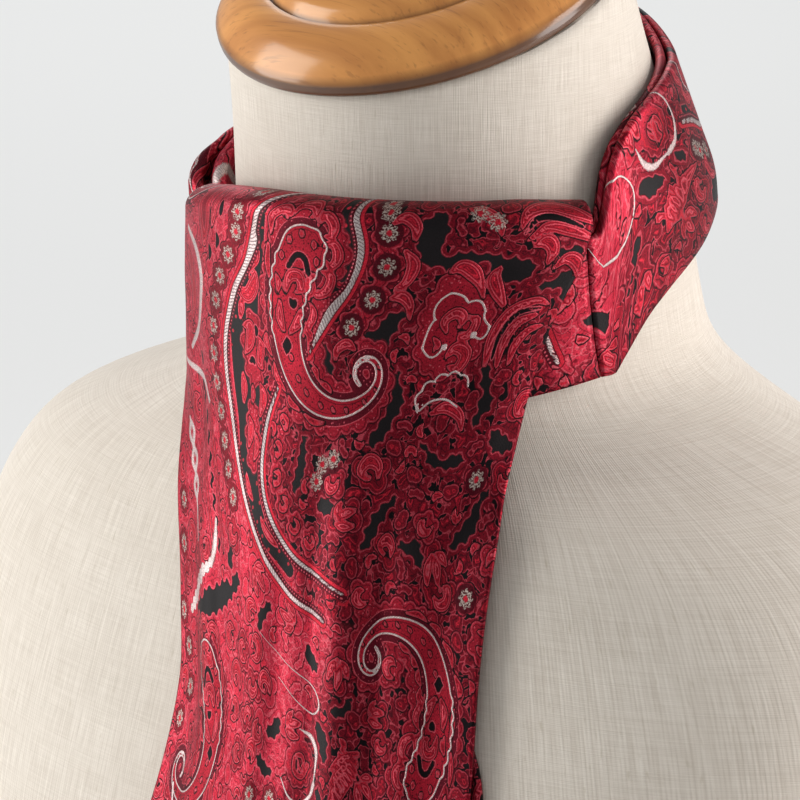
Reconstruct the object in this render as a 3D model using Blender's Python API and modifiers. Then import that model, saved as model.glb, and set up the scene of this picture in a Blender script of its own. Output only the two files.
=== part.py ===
"""Silk cravat tied round the neck of a limbless, linen-covered dress form with a wooden neck cap.

Metres, +Z up. The wearer faces -Y and the wearer's left is +X. The origin is on the form's flat
underside. A turn is an angle round the neck, 0 at the throat and positive towards the wearer's left.
"""

from math import copysign, cos, pi, radians, sin, tan
from types import SimpleNamespace

import bmesh
import bpy
import numpy as np
from mathutils import Matrix, Vector

# Form
CAP_SEAT = Vector((0.0, -0.012, 0.640))  # middle of the neck's slanting top
CAP_LEAN = radians(21.5)                 # the neck's top leans forward by this
CAP_RADIUS = 0.0624
SEAM_GAP = 0.0003
NECK_START = 0.578                       # below this height every ring of the form is level
AROUND = 48

# Cravat
WALL = 0.0014                            # doubled silk with its interlining
RETURN_OUT = 0.0015                      # the front fold's back leg, out from the neck
RETURN_DEPTH = 0.028
FOLD_RISE = 0.005                        # the front fold's roll above its two legs
OVER_LENGTH = 0.335                      # from the front fold down to the point
OVER_STRAIGHT = 0.230                    # above this the over-blade's rows run straight across
OVER_SHOULDER = 0.272                    # its two edges end here and the point begins
UNDER_TOP = 0.517
UNDER_LENGTH = 0.205
UNDER_SHOULDER = 0.150
OVER_CLEAR_LOW = 0.0050                  # out from the chest, with the under-blade between
OVER_CLEAR_HIGH = 0.0124                 # out from the neck, with the two stretches between


def table(names, *rows):
    """A table with named columns that reads smoothly between its rows, by the first column."""
    names = names.split()
    data = np.array(rows, float)
    key = data[:, 0]
    steps = np.diff(data, axis=0) / np.diff(key)[:, None]
    slope = np.zeros_like(data)
    slope[0], slope[-1] = steps[0], steps[-1]
    for i in range(1, len(key) - 1):
        same_way = steps[i - 1] * steps[i] > 0
        total = np.where(same_way, steps[i - 1] + steps[i], 1.0)
        slope[i] = np.where(same_way, 2 * steps[i - 1] * steps[i] / total, 0.0)

    def read(value):
        value = min(max(value, key[0]), key[-1])
        i = min(int(np.searchsorted(key, value, "right")) - 1, len(key) - 2)
        width = key[i + 1] - key[i]
        t = (value - key[i]) / width
        row = (
            (2 * t**3 - 3 * t**2 + 1) * data[i]
            + (t**3 - 2 * t**2 + t) * width * slope[i]
            + (3 * t**2 - 2 * t**3) * data[i + 1]
            + (t**3 - t**2) * width * slope[i + 1]
        )
        return SimpleNamespace(**dict(zip(names, row)))

    return read


def ease(value, start, end):
    """0 before start, 1 after end, and smooth between them."""
    t = min(max((value - start) / (end - start), 0.0), 1.0)
    return t * t * (3 - 2 * t)


def mix(a, b, share):
    return a + (b - a) * share


# Level sections of the form
FORM = table(
    "height half_width front  middle  back  squareness",
    (0.000, 0.156, -0.102, -0.002, 0.096, 2.35),
    (0.070, 0.154, -0.099, -0.002, 0.092, 2.35),
    (0.150, 0.144, -0.095, -0.002, 0.082, 2.30),
    (0.230, 0.155, -0.103, 0.000, 0.090, 2.30),
    (0.300, 0.169, -0.109, 0.001, 0.102, 2.35),
    (0.350, 0.178, -0.107, 0.003, 0.110, 2.40),
    (0.400, 0.183, -0.098, 0.007, 0.114, 2.45),
    (0.440, 0.183, -0.089, 0.011, 0.112, 2.40),
    (0.460, 0.179, -0.0845, 0.014, 0.109, 2.35),
    (0.475, 0.171, -0.081, 0.016, 0.106, 2.28),
    (0.487, 0.160, -0.078, 0.017, 0.103, 2.22),
    (0.498, 0.139, -0.0745, 0.017, 0.100, 2.16),
    (0.507, 0.113, -0.0710, 0.017, 0.097, 2.10),
    (0.515, 0.091, -0.0680, 0.017, 0.094, 2.05),
    (0.523, 0.0765, -0.0660, 0.016, 0.092, 2.02),
    (0.532, 0.0715, -0.0650, 0.015, 0.089, 2.00),
    (0.544, 0.0695, -0.0646, 0.013, 0.087, 2.00),
    (0.560, 0.0680, -0.0646, 0.011, 0.083, 2.00),
    (0.578, 0.0675, -0.0645, 0.0085, 0.079, 2.00),
    (0.594, 0.0655, -0.0655, 0.0035, 0.0730, 2.00),
    (0.610, 0.0641, -0.0665, -0.0015, 0.0665, 2.00),
    (0.630, 0.0629, -0.0690, -0.0080, 0.0575, 2.00),
    (0.664, 0.0618, -0.0790, -0.0180, 0.0455, 2.00),
)


def outline(turn, height):
    """A point on the form's surface."""
    ring = FORM(height)
    power = 2 / ring.squareness
    across = copysign(abs(sin(turn)) ** power, sin(turn))
    ahead = copysign(abs(cos(turn)) ** power, cos(turn))
    depth = ring.middle - ring.front if ahead > 0 else ring.back - ring.middle
    return Vector((ring.half_width * across, ring.middle - depth * ahead, height))


def off_form(turn, height, out):
    """A point this far out from the form, level with the surface point under it."""
    before, after = outline(turn - 0.02, height), outline(turn + 0.02, height)
    along = (after - before).normalized()
    return outline(turn, height) + Vector((along.y, -along.x, 0)) * out


def clear_of_form(point, clear):
    """The point, moved out from the form's middle where it lies nearer to the form than clear."""
    ring = FORM(point.z)
    x, y = point.x, point.y - ring.middle
    depth = ring.middle - ring.front if y < 0 else ring.back - ring.middle
    power = ring.squareness
    share = (abs(x / ring.half_width) ** power + abs(y / depth) ** power) ** (1 / power)
    reach = Vector((x, y)).length
    short = 1 + clear * share / reach - share       # how far inside the clear distance it lies
    soft = 0.012 / reach * share                    # it leaves the surface in an easy curve
    push = max(short, 0.0) + soft * max(0.0, 1 - abs(short) / soft) ** 2 / 4
    grown = 1 + push / share
    return Vector((x * grown, ring.middle + y * grown, point.z))


def cap_height(point):
    """Height of the neck's slanting top over this point."""
    return CAP_SEAT.z + (point.y - CAP_SEAT.y) * tan(CAP_LEAN)


# Height of the front fold's crest
CREST = table(
    "turn height",
    (-62, 0.5735),
    (-44, 0.5785),
    (-23, 0.5850),
    (0, 0.5885),
    (34, 0.5895),
    (52, 0.5895),
    (66, 0.5880),
    (80, 0.5855),
)

# The pleated stretches: height of the inner pleat's top, distance of the inner leg from the form,
# depth of the section, distance between two legs, depth of the groove, length of the inner leg, how
# far the outer leg leans out, and how much lower than the inner pleat's top the outer one lies
BAND = table(
    "turn height  out     depth   pitch   groove  inner   lean    step",
    (68, 0.5760, 0.0034, 0.0420, 0.0018, 0.0180, 0.0410, 0.0000, 0.0003),
    (71, 0.5766, 0.0034, 0.0425, 0.0018, 0.0180, 0.0415, 0.0000, 0.0003),
    (74, 0.5832, 0.0034, 0.0450, 0.0018, 0.0190, 0.0440, 0.0003, 0.0003),
    (77, 0.5905, 0.0033, 0.0480, 0.0018, 0.0200, 0.0470, 0.0004, 0.0003),
    (81, 0.5978, 0.0030, 0.0500, 0.0018, 0.0200, 0.0490, 0.0006, -0.0006),
    (86, 0.6032, 0.0026, 0.0505, 0.0018, 0.0200, 0.0495, 0.0008, -0.0012),
    (93, 0.6075, 0.0020, 0.0500, 0.0018, 0.0200, 0.0490, 0.0010, -0.0018),
    (105, 0.6125, 0.0017, 0.0490, 0.0018, 0.0200, 0.0480, 0.0012, -0.0016),
    (118, 0.6165, 0.0017, 0.0470, 0.0018, 0.0200, 0.0460, 0.0012, -0.0008),
    (131, 0.6195, 0.0017, 0.0460, 0.0018, 0.0200, 0.0450, 0.0012, 0.0010),
    (161, 0.6305, 0.0017, 0.0460, 0.0018, 0.0200, 0.0450, 0.0008, 0.0026),
    (180, 0.6340, 0.0017, 0.0460, 0.0018, 0.0200, 0.0450, 0.0008, 0.0026),
    (200, 0.6300, 0.0017, 0.0460, 0.0018, 0.0200, 0.0450, 0.0008, 0.0024),
    (231, 0.6130, 0.0017, 0.0460, 0.0019, 0.0200, 0.0450, 0.0010, 0.0012),
    (256, 0.5965, 0.0026, 0.0450, 0.0021, 0.0190, 0.0440, 0.0010, 0.0006),
    (272, 0.5885, 0.0060, 0.0440, 0.0022, 0.0180, 0.0430, 0.0004, 0.0004),
    (284, 0.5825, 0.0095, 0.0420, 0.0024, 0.0180, 0.0410, 0.0000, 0.0003),
    (289, 0.5790, 0.0094, 0.0405, 0.0037, 0.0180, 0.0395, 0.0000, 0.0012),
    (294, 0.5745, 0.0082, 0.0390, 0.0040, 0.0170, 0.0380, 0.0000, 0.0016),
    (300, 0.5665, 0.0036, 0.0380, 0.0021, 0.0160, 0.0370, 0.0000, 0.0003),
)
LEFT = table(
    "turn height  out     depth   pitch   groove  inner   lean step",
    (-6, 0.5600, 0.0033, 0.0400, 0.0018, 0.0070, 0.0360, 0, 0.0003),
    (20, 0.5650, 0.0033, 0.0410, 0.0018, 0.0100, 0.0400, 0, 0.0003),
    (45, 0.5710, 0.0034, 0.0420, 0.0018, 0.0150, 0.0410, 0, 0.0003),
    (68, 0.5760, 0.0034, 0.0420, 0.0018, 0.0180, 0.0410, 0, 0.0003),
)
RIGHT = table(
    "turn height  out     depth   pitch   groove  inner   lean step",
    (-60, 0.5665, 0.0036, 0.0380, 0.0021, 0.0160, 0.0370, 0, 0.0003),
    (-46, 0.5690, 0.0040, 0.0370, 0.0020, 0.0120, 0.0250, 0, 0.0003),
    (-28, 0.5760, 0.0046, 0.0400, 0.0019, 0.0070, 0.0080, 0, 0.0003),
    (-8, 0.5810, 0.0050, 0.0430, 0.0019, 0.0050, 0.0055, 0, 0.0003),
    (22, 0.5815, 0.0050, 0.0430, 0.0019, 0.0050, 0.0055, 0, 0.0003),
    (40, 0.5800, 0.0050, 0.0430, 0.0019, 0.0050, 0.0055, 0, 0.0003),
)

# The over-blade, row by row down from the fold: each row is an arc, with the radius, the place of
# its middle sideways, its foremost point, and how far the cloth runs along it to each edge
OVER = table(
    "fall  radius side   front    right   left",
    (0.005, 0.0765, 0.0035, -0.0790, 0.0828, 0.0955),
    (0.015, 0.0765, 0.0035, -0.0792, 0.0815, 0.0925),
    (0.024, 0.0765, 0.0037, -0.0797, 0.0795, 0.0880),
    (0.035, 0.0750, 0.0048, -0.0812, 0.0760, 0.0828),
    (0.050, 0.0730, 0.0058, -0.0835, 0.0700, 0.0782),
    (0.070, 0.0690, 0.0077, -0.0880, 0.0610, 0.0745),
    (0.088, 0.0640, 0.0091, -0.0925, 0.0530, 0.0715),
    (0.128, 0.0620, 0.0145, -0.1000, 0.0460, 0.0660),
    (0.150, 0.0650, 0.0178, -0.1035, 0.0450, 0.0640),
    (0.175, 0.0750, 0.0184, -0.1070, 0.0470, 0.0640),
    (0.205, 0.1000, 0.0180, -0.1105, 0.0520, 0.0660),
    (0.235, 0.1400, 0.0180, -0.1135, 0.0590, 0.0690),
    (0.290, 0.2400, 0.0180, -0.1150, 0.0700, 0.0730),
    (0.335, 0.3000, 0.0180, -0.1140, 0.0730, 0.0730),
)
OVER_RIDGES = ((0.40, 0.0045), (0.70, 0.0040), (-0.62, 0.0020))

UNDER = table(
    "fall  middle half_width lift",
    (0.000, 0.012, 0.030, 0.0075),
    (0.020, 0.014, 0.035, 0.0040),
    (0.050, 0.020, 0.042, 0.0010),
    (0.090, 0.030, 0.055, 0.0000),
    (0.205, 0.036, 0.068, 0.0000),
)

collection = bpy.data.collections.new("Silk cravat on a dress form")


def finish(colour, roughness, name, sheen=0.0):
    material = bpy.data.materials.new(name)
    material.use_nodes = True
    shader = material.node_tree.nodes["Principled BSDF"]
    shader.inputs["Base Color"].default_value = (*colour, 1)
    shader.inputs["Roughness"].default_value = roughness
    shader.inputs["Sheen Weight"].default_value = sheen
    return material


def add_object(name, mesh, material):
    obj = bpy.data.objects.new(name, mesh)
    mesh.materials.append(material)
    mesh.shade_smooth()
    mesh.set_sharp_from_angle(angle=radians(40))
    collection.objects.link(obj)
    return obj


def add_sheet(name, columns, rows, place, material):
    """A wall of cloth: a grid of columns by rows points, each put where place(column, row) says."""
    shape = bmesh.new()
    bmesh.ops.create_grid(shape, x_segments=columns - 1, y_segments=rows - 1, size=0.5)
    for vertex in shape.verts:
        column = round((vertex.co.x + 0.5) * (columns - 1))
        row = round((vertex.co.y + 0.5) * (rows - 1))
        vertex.co = place(column, row)
    mesh = bpy.data.meshes.new(name)
    shape.to_mesh(mesh)
    shape.free()
    obj = add_object(name, mesh, material)
    wall = obj.modifiers.new("wall", "SOLIDIFY")
    wall.thickness = WALL
    wall.offset = 0
    wall.use_quality_normals = True
    return obj


def pleat_line(row):
    """The band's folded section as (out, drop) points: up the inner leg, over and down into the
    groove, up again, over and down the outer leg."""
    turn_radius = row.pitch / 2
    top = row.step + turn_radius
    legs = [(row.inner, turn_radius, 3), (turn_radius, row.groove, 1), (row.groove, top, 1)]
    line = []
    for number, (start, end, parts) in enumerate(legs):
        out = number * row.pitch
        line += [(out, mix(start, end, part / parts)) for part in range(parts + 1)]
        bend = 1 if number == 1 else -1         # the groove turns below, the tops turn above
        for angle in (pi / 4, pi / 2, 3 * pi / 4):
            line.append((out + turn_radius * (1 - cos(angle)), end + bend * turn_radius * sin(angle)))
    for part in range(6):
        share = part / 5
        drop = mix(top, row.depth, share)
        line.append((3 * row.pitch + row.lean * ease(drop, 0, 0.026), drop))
    return line


def add_pleated(name, stretch, start, end, rows, material):
    """A stretch of the folded strip, between two turns round the neck."""
    turns = [mix(start, end, row / (rows - 1)) for row in range(rows)]
    lines = [(turn, stretch(turn), pleat_line(stretch(turn))) for turn in turns]

    def place(column, row):
        turn, size, line = lines[row]
        out, drop = line[column]
        return off_form(radians(turn), size.height - drop, size.out + out)

    return add_sheet(name, len(lines[0][2]), rows, place, material)


def over_edge(across, fall):
    """How far down the cloth this row lies, drawn in towards the point at the two edges."""
    if fall <= OVER_STRAIGHT:
        return fall
    longest = mix(OVER_LENGTH, OVER_SHOULDER, abs(across))
    return OVER_STRAIGHT + (fall - OVER_STRAIGHT) * (longest - OVER_STRAIGHT) / (OVER_LENGTH - OVER_STRAIGHT)


def over_front(across, fall):
    """A point on the hanging part of the over-blade; across runs from -1, the wearer's right, to 1."""
    fall = over_edge(across, fall)
    row = OVER(fall)
    angle = across * (row.left if across > 0 else row.right) / row.radius
    reach = row.radius
    gathered = ease(fall, 0.05, 0.11) * (1 - 0.6 * ease(fall, 0.17, 0.30))
    for middle, height in OVER_RIDGES:
        reach += gathered * height * max(0.0, 1 - ((across - middle) / 0.17) ** 2) ** 2
    crest = CREST(max(-62, min(80, angle * 180 / pi))).height
    height = mix(crest, CREST(0).height, ease(fall, 0.01, 0.12)) - fall
    point = Vector((row.side + reach * sin(angle), row.front + row.radius - reach * cos(angle), height))
    clear = mix(OVER_CLEAR_LOW, OVER_CLEAR_HIGH, ease(height, 0.506, 0.5345))
    return clear_of_form(point, clear)


def over_back(across, drop):
    """A point on the leg that comes up between the neck and the crossing."""
    share = (across + 1) / 2
    narrower = drop / RETURN_DEPTH
    turn = mix(mix(-52, -34, narrower), mix(70, 58, narrower), share)
    return off_form(radians(turn), CREST(turn).height - FOLD_RISE - drop, RETURN_OUT)


def add_over_blade(material):
    columns = 31
    backs = (RETURN_DEPTH, 0.66 * RETURN_DEPTH, 0.33 * RETURN_DEPTH, 0)
    rolls = [radians(angle) for angle in (25, 55, 90, 125, 155)]
    falls = (0.005, 0.010, 0.016, 0.024, 0.034, 0.046, 0.058, 0.070, 0.082, 0.095, 0.108, 0.122,
             0.137, 0.153, 0.170, 0.188, 0.208, 0.230, 0.250, 0.270, 0.292, 0.314, 0.335)

    def place(column, row):
        across = 2 * column / (columns - 1) - 1
        if row < len(backs):
            return over_back(across, backs[row])
        row -= len(backs)
        if row < len(rolls):
            behind, front = over_back(across, 0), over_front(across, falls[0])
            point = behind.lerp(front, (1 - cos(rolls[row])) / 2)
            return point + Vector((0, 0, FOLD_RISE * sin(rolls[row])))
        return over_front(across, falls[row - len(rolls)])

    return add_sheet("over_blade", columns, len(backs) + len(rolls) + len(falls), place, material)


def add_under_blade(material):
    columns, rows = 17, 18

    def place(column, row):
        across = 2 * column / (columns - 1) - 1
        longest = mix(UNDER_LENGTH, UNDER_SHOULDER, abs(across))
        fall = longest * row / (rows - 1)
        size = UNDER(fall)
        height = UNDER_TOP - fall
        ring = FORM(height)
        side = size.middle + size.half_width * across
        turn = copysign(np.arcsin(abs(side / ring.half_width) ** (ring.squareness / 2)), side)
        return off_form(turn, height, RETURN_OUT + size.lift * (1 - across**2))

    return add_sheet("under_blade", columns, rows, place, material)


def add_torso(material):
    """Level rings up to the neck, then rings that lean more and more, up to its slanting top."""
    heights = (0.004, 0.035, 0.070, 0.110, 0.150, 0.190, 0.230, 0.265, 0.300, 0.330, 0.360, 0.390,
               0.415, 0.440, 0.458, 0.474, 0.488, 0.500, 0.511, 0.520, 0.528, 0.535, 0.543, 0.552,
               0.564, NECK_START)
    leaning = (0.25, 0.50, 0.75, 1.0)
    rows = 1 + len(heights) + len(leaning)

    def neck_top(turn):
        height = CAP_SEAT.z
        for _ in range(8):
            height = cap_height(outline(turn, height))
        return height

    shape = bmesh.new()
    bmesh.ops.create_grid(shape, x_segments=AROUND, y_segments=rows - 1, size=0.5)
    for vertex in shape.verts:
        turn = 2 * pi * (round((vertex.co.x + 0.5) * AROUND) % AROUND) / AROUND
        row = round((vertex.co.y + 0.5) * (rows - 1))
        if row == 0:
            vertex.co = off_form(turn, 0, -0.003)
        elif row <= len(heights):
            vertex.co = outline(turn, heights[row - 1])
        else:
            share = leaning[row - 1 - len(heights)]
            vertex.co = outline(turn, mix(NECK_START, neck_top(turn), share))
    bmesh.ops.remove_doubles(shape, verts=shape.verts, dist=1e-6)
    bmesh.ops.holes_fill(shape, edges=shape.edges, sides=0)
    bmesh.ops.recalc_face_normals(shape, faces=shape.faces)
    mesh = bpy.data.meshes.new("torso")
    shape.to_mesh(mesh)
    shape.free()
    return add_object("torso", mesh, material)


def add_neck_cap(material):
    """Turned wood: a face that falls away faster and faster to a round edge, a groove, and a low dome."""
    rim, groove, dome = CAP_RADIUS, 0.0447, 0.0232
    face_top, face_foot, face_steps = 0.0147, 0.0036, 8
    profile = [
        (0, dome),
        (0.010, dome - 0.0003),
        (0.022, dome - 0.0018),
        (0.033, dome - 0.0040),
        (0.040, dome - 0.0062),
        (groove - 0.0012, dome - 0.0080),
        (groove, 0.0136),
    ]
    for step in range(face_steps + 1):
        share = step / face_steps
        profile.append((mix(groove + 0.0006, rim, share), mix(face_top, face_foot, share**2.2)))
    profile += [
        (rim - 0.0004, 0.0022),
        (rim - 0.0018, 0.0010),
        (rim - 0.0030, 0),
        (0, 0),
    ]
    mesh = bpy.data.meshes.new("neck_cap")
    mesh.from_pydata([(r, 0, h) for r, h in profile], [(i, i + 1) for i in range(len(profile) - 1)], [])
    obj = add_object("neck_cap", mesh, material)
    lathe = obj.modifiers.new("lathe", "SCREW")
    lathe.steps = lathe.render_steps = AROUND
    lathe.use_merge_vertices = True
    lathe.merge_threshold = 1e-5
    seat = Matrix.Rotation(CAP_LEAN, 4, "X")
    obj.matrix_world = Matrix.Translation(CAP_SEAT + seat @ Vector((0, 0, SEAM_GAP))) @ seat
    return obj


for old in list(bpy.data.objects):
    bpy.data.objects.remove(old)
bpy.context.scene.collection.children.link(collection)

silk = finish((0.42, 0.012, 0.030), 0.42, "red silk jacquard", sheen=0.3)
linen = finish((0.66, 0.60, 0.50), 0.9, "natural linen")
wood = finish((0.52, 0.25, 0.09), 0.28, "varnished beech")

add_torso(linen)
add_neck_cap(wood)
add_pleated("neckband", BAND, 68.2, 299.6, 37, silk)
add_pleated("left_stretch", LEFT, -6, 67.8, 14, silk)
add_pleated("right_stretch", RIGHT, -59.6, 40, 17, silk)
add_over_blade(silk)
add_under_blade(silk)
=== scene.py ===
from math import ceil, cos, floor, pi, radians, sin
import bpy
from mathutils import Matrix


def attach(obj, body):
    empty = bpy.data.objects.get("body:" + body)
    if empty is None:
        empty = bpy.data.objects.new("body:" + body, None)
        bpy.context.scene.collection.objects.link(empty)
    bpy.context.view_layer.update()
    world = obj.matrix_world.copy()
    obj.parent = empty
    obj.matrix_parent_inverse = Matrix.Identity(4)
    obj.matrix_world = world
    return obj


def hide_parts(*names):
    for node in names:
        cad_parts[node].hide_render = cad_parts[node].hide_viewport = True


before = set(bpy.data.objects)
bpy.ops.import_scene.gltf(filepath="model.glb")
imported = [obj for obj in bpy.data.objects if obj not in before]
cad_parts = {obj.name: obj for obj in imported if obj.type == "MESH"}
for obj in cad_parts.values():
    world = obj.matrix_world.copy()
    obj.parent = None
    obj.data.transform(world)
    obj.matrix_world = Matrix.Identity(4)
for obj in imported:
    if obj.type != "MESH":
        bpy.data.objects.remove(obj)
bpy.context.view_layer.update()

from types import SimpleNamespace

import bmesh
import bpy
import numpy as np
from mathutils import Matrix, Vector

# Camera, light and floor. The camera stands off the wearer's left front, a little above the neck, and
# sees the tied cravat close up. A large soft window lights it from the wearer's right front.
AZIMUTH, ELEVATION, DISTANCE = radians(40), radians(16.665), 1.3
LENS, SENSOR = 188.5, 36
scene = bpy.context.scene
scene.view_settings.view_transform = "Standard"
sideways = Vector((cos(AZIMUTH), sin(AZIMUTH), 0))
backwards = Vector((sin(AZIMUTH) * cos(ELEVATION), -cos(AZIMUTH) * cos(ELEVATION), sin(ELEVATION)))
aim = Vector((0, -0.004, 0.5094)) - 0.01132 * sideways
camera = bpy.data.objects.new("camera", bpy.data.cameras.new("camera"))
camera.data.lens = LENS
camera.data.sensor_width = SENSOR
camera.location = aim + DISTANCE * backwards
camera.rotation_euler = backwards.to_track_quat("Z", "Y").to_euler()
scene.collection.objects.link(camera)
scene.camera = camera

LIT_PLACE = Vector((0, -0.03, 0.52))
LIGHTS = (
    ("window", (-1.12, -1.00, 0.80), (0.8, 1.4), 22, (1.0, 0.985, 0.965)),
    ("second window", (1.42, 0.75, 0.80), (0.8, 1.4), 29, (1.0, 0.950, 0.925)),
    ("floor light", (-2.70, 2.88, 3.10), (2.6, 2.6), 82, (1.0, 1.0, 0.99)),
)
for name, place, size, watts, colour in LIGHTS:
    light = bpy.data.lights.new(name, "AREA")
    light.shape = "RECTANGLE"
    light.size, light.size_y = size
    light.energy = watts
    light.color = colour
    lamp = bpy.data.objects.new(name, light)
    lamp.location = place
    lamp.rotation_euler = (Vector(place) - LIT_PLACE).to_track_quat("Z", "Y").to_euler()
    scene.collection.objects.link(lamp)

world = bpy.data.worlds.new("studio")
world.use_nodes = True
studio = world.node_tree.nodes["Background"]
studio.inputs["Color"].default_value = (0.95, 0.96, 0.965, 1)
studio.inputs["Strength"].default_value = 0.40
scene.world = world


def new_material(name):
    """A material, and functions that add nodes and arithmetic to it and set its shader's sockets."""
    material = bpy.data.materials.new(name)
    material.use_nodes = True
    tree = material.node_tree

    def put(socket, value):
        if isinstance(value, bpy.types.NodeSocket):
            tree.links.new(value, socket)
        elif isinstance(value, tuple) and len(value) == 3 and socket.type == "RGBA":
            socket.default_value = (*value, 1)
        else:
            socket.default_value = value

    def node(kind, **inputs):
        made = tree.nodes.new("ShaderNode" + kind)
        for key, value in inputs.items():
            name = key.replace("_", " ")
            if name in made.inputs:
                put(made.inputs[name], value)
            else:
                setattr(made, key, value)
        return made

    def calc(operation, *values):
        made = node("Math", operation=operation)
        for socket, value in zip(made.inputs, values):
            put(socket, value)
        return made.outputs[0]

    def blend(share, first, second):
        made = node("Mix", data_type="RGBA")
        for number, value in ((0, share), (6, first), (7, second)):      # factor, and the two colours
            put(made.inputs[number], value)
        return made.outputs[2]

    def between(value, start, end, low=0.0, high=1.0, **kind):
        """The value's share of the way from start to end, as a number from low to high."""
        made = node("MapRange", Value=value, From_Min=start, From_Max=end, To_Min=low, To_Max=high, **kind)
        return made.outputs[0]

    def total(*terms):
        """The sum of each value times its weight."""
        made = None
        for value, weight in terms:
            term = calc("MULTIPLY", value, weight)
            made = term if made is None else calc("ADD", made, term)
        return made

    def noise(place, scale, detail):
        """Smooth noise round a half, at this many cells to each unit of place."""
        return node("TexNoise", Vector=place, Scale=scale, Detail=detail).outputs["Fac"]

    def finish(**looks):
        """Sets the shader's sockets by their names."""
        for key, value in looks.items():
            put(tree.nodes["Principled BSDF"].inputs[key.replace("_", " ")], value)

    return SimpleNamespace(
        material=material, put=put, node=node, calc=calc, blend=blend, between=between, total=total,
        noise=noise, finish=finish,
    )


def add_object(mesh, name):
    """Puts a mesh into the scene, as an object at the origin."""
    made = bpy.data.objects.new(name, mesh)
    scene.collection.objects.link(made)
    return made


def mesh_of(shape, name):
    """The mesh of a finished bmesh, which it clears away."""
    mesh = bpy.data.meshes.new(name)
    shape.to_mesh(mesh)
    shape.free()
    return mesh


floor_paint = new_material("pale floor")
floor_paint.finish(Base_Color=(0.86, 0.865, 0.865), Roughness=0.9)
shape = bmesh.new()
bmesh.ops.create_circle(shape, cap_ends=True, segments=96, radius=6.0)
floor_mesh = mesh_of(shape, "floor")
floor_mesh.materials.append(floor_paint.material)
add_object(floor_mesh, "floor")


# The form's cover: natural linen in plain weave, drawn tight over a limbless torso and its neck and
# turned in under the wooden cap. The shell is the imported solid's, smoothed.
shape = bmesh.new()
shape.from_mesh(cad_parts["torso"].data)
bmesh.ops.remove_doubles(shape, verts=shape.verts, dist=1e-6)
bmesh.ops.join_triangles(
    shape, faces=shape.faces, cmp_seam=False, cmp_sharp=False, cmp_uvs=False, cmp_vcols=False,
    cmp_materials=False, angle_face_threshold=radians(30), angle_shape_threshold=radians(60),
)
SHARP_TURN = radians(40)      # the underside's edge stays sharp
crease = shape.edges.layers.float.new("crease_edge")
for edge in shape.edges:
    if len(edge.link_faces) == 2 and edge.calc_face_angle() > SHARP_TURN:
        edge[crease] = 1.0
linen_mesh = mesh_of(shape, "linen_cover")
linen_mesh.shade_smooth()
linen_cover = add_object(linen_mesh, "linen_cover")
smoothing = linen_cover.modifiers.new("smoothing", "SUBSURF")
smoothing.levels = smoothing.render_levels = 2

linen = new_material("natural linen")
NECK_MILLIMETRES = 66.0      # the neck's radius: it turns an angle round the form into cloth
THREAD_PITCH = 0.50
parts = linen.node("SeparateXYZ", Vector=linen.node("TexCoord").outputs["Object"])
turn = linen.calc("ARCTAN2", parts.outputs["X"], linen.calc("MULTIPLY", parts.outputs["Y"], -1.0))
weft_way = linen.calc("MULTIPLY", turn, NECK_MILLIMETRES)
warp_way = linen.calc("MULTIPLY", parts.outputs["Z"], 1000.0)
cloth_place = linen.node("CombineXYZ", X=weft_way, Y=warp_way).outputs[0]


def slubs(across, along, detail):
    """Uneven threads: noise drawn out along one way of the cloth."""
    stretched = linen.node("Mapping", Vector=cloth_place, Scale=(across, along, 1.0))
    return linen.noise(stretched.outputs[0], 1.0, detail)


def threads(way):
    """Round threads side by side, 0 between them and 1 on top."""
    return linen.calc("ABSOLUTE", linen.calc("SINE", linen.calc("MULTIPLY", way, pi / THREAD_PITCH)))


weave = linen.calc("ADD", threads(weft_way), linen.calc("MULTIPLY", threads(warp_way), 0.6))
warp_slub, weft_slub = slubs(2.2, 0.06, 2.0), slubs(0.09, 2.4, 2.0)
cloudy = linen.noise(cloth_place, 0.03, 3.0)
uneven = linen.total((warp_slub, 0.9), (weft_slub, 0.6), (weave, 0.22), (cloudy, 0.30))
cover = linen.blend(linen.between(uneven, 0.85, 1.50), (0.560, 0.500, 0.430), (0.745, 0.690, 0.615))
thick = linen.between(slubs(1.6, 0.18, 1.0), 0.66, 0.78, 0.0, 0.50)
linen.finish(
    Base_Color=linen.blend(thick, cover, (0.47, 0.41, 0.32)), Roughness=0.88, Specular_IOR_Level=0.25,
    Sheen_Weight=0.15, Normal=linen.node("Bump", Strength=0.45, Distance=0.0003, Height=uneven).outputs[0],
)
linen_mesh.materials.append(linen.material)
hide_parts("torso")
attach(linen_cover, "root")


# The neck cap: beech turned on a lathe, with a face that falls away to a round edge, a cut groove and a
# low dome, stained orange-brown and varnished. It sits on the neck's slanting top and leans with it.
cap_seat, cap_lean, cap_lift = Vector((0.0, -0.012, 0.640)), radians(21.5), 0.0003
rim, groove = 0.0624, 0.0447
face_top, face_foot, face_start = 0.0147, 0.0042, groove + 0.0006
dome_top, dome_foot, dome_edge = 0.0232, 0.0159, groove - 0.0020
FACE_STEPS, DOME_STEPS, ROUND_STEPS = 20, 12, 128
face = [
    (face_start + (rim - face_start) * share, face_top + (face_foot - face_top) * share**2.2)
    for share in (step / FACE_STEPS for step in range(FACE_STEPS, -1, -1))
]
dome = [
    (dome_edge * cos(angle), dome_foot + (dome_top - dome_foot) * sin(angle))
    for angle in (step * pi / (2 * DOME_STEPS) for step in range(1, DOME_STEPS))
]
profile = [
    (0.0, 0.0), (rim - 0.0014, 0.0), (rim - 0.0005, 0.0004), (rim, 0.0013), (rim + 0.0001, 0.0026),
    (rim - 0.0001, 0.0034), *face, (groove + 0.0003, 0.0141), (groove, 0.0136), (groove - 0.0006, 0.0142),
    (groove - 0.0013, 0.0153), *dome, (0.0, dome_top),
]
shape = bmesh.new()
points = [shape.verts.new((radius, 0, height)) for radius, height in profile]
edges = [shape.edges.new(pair) for pair in zip(points, points[1:])]
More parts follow.
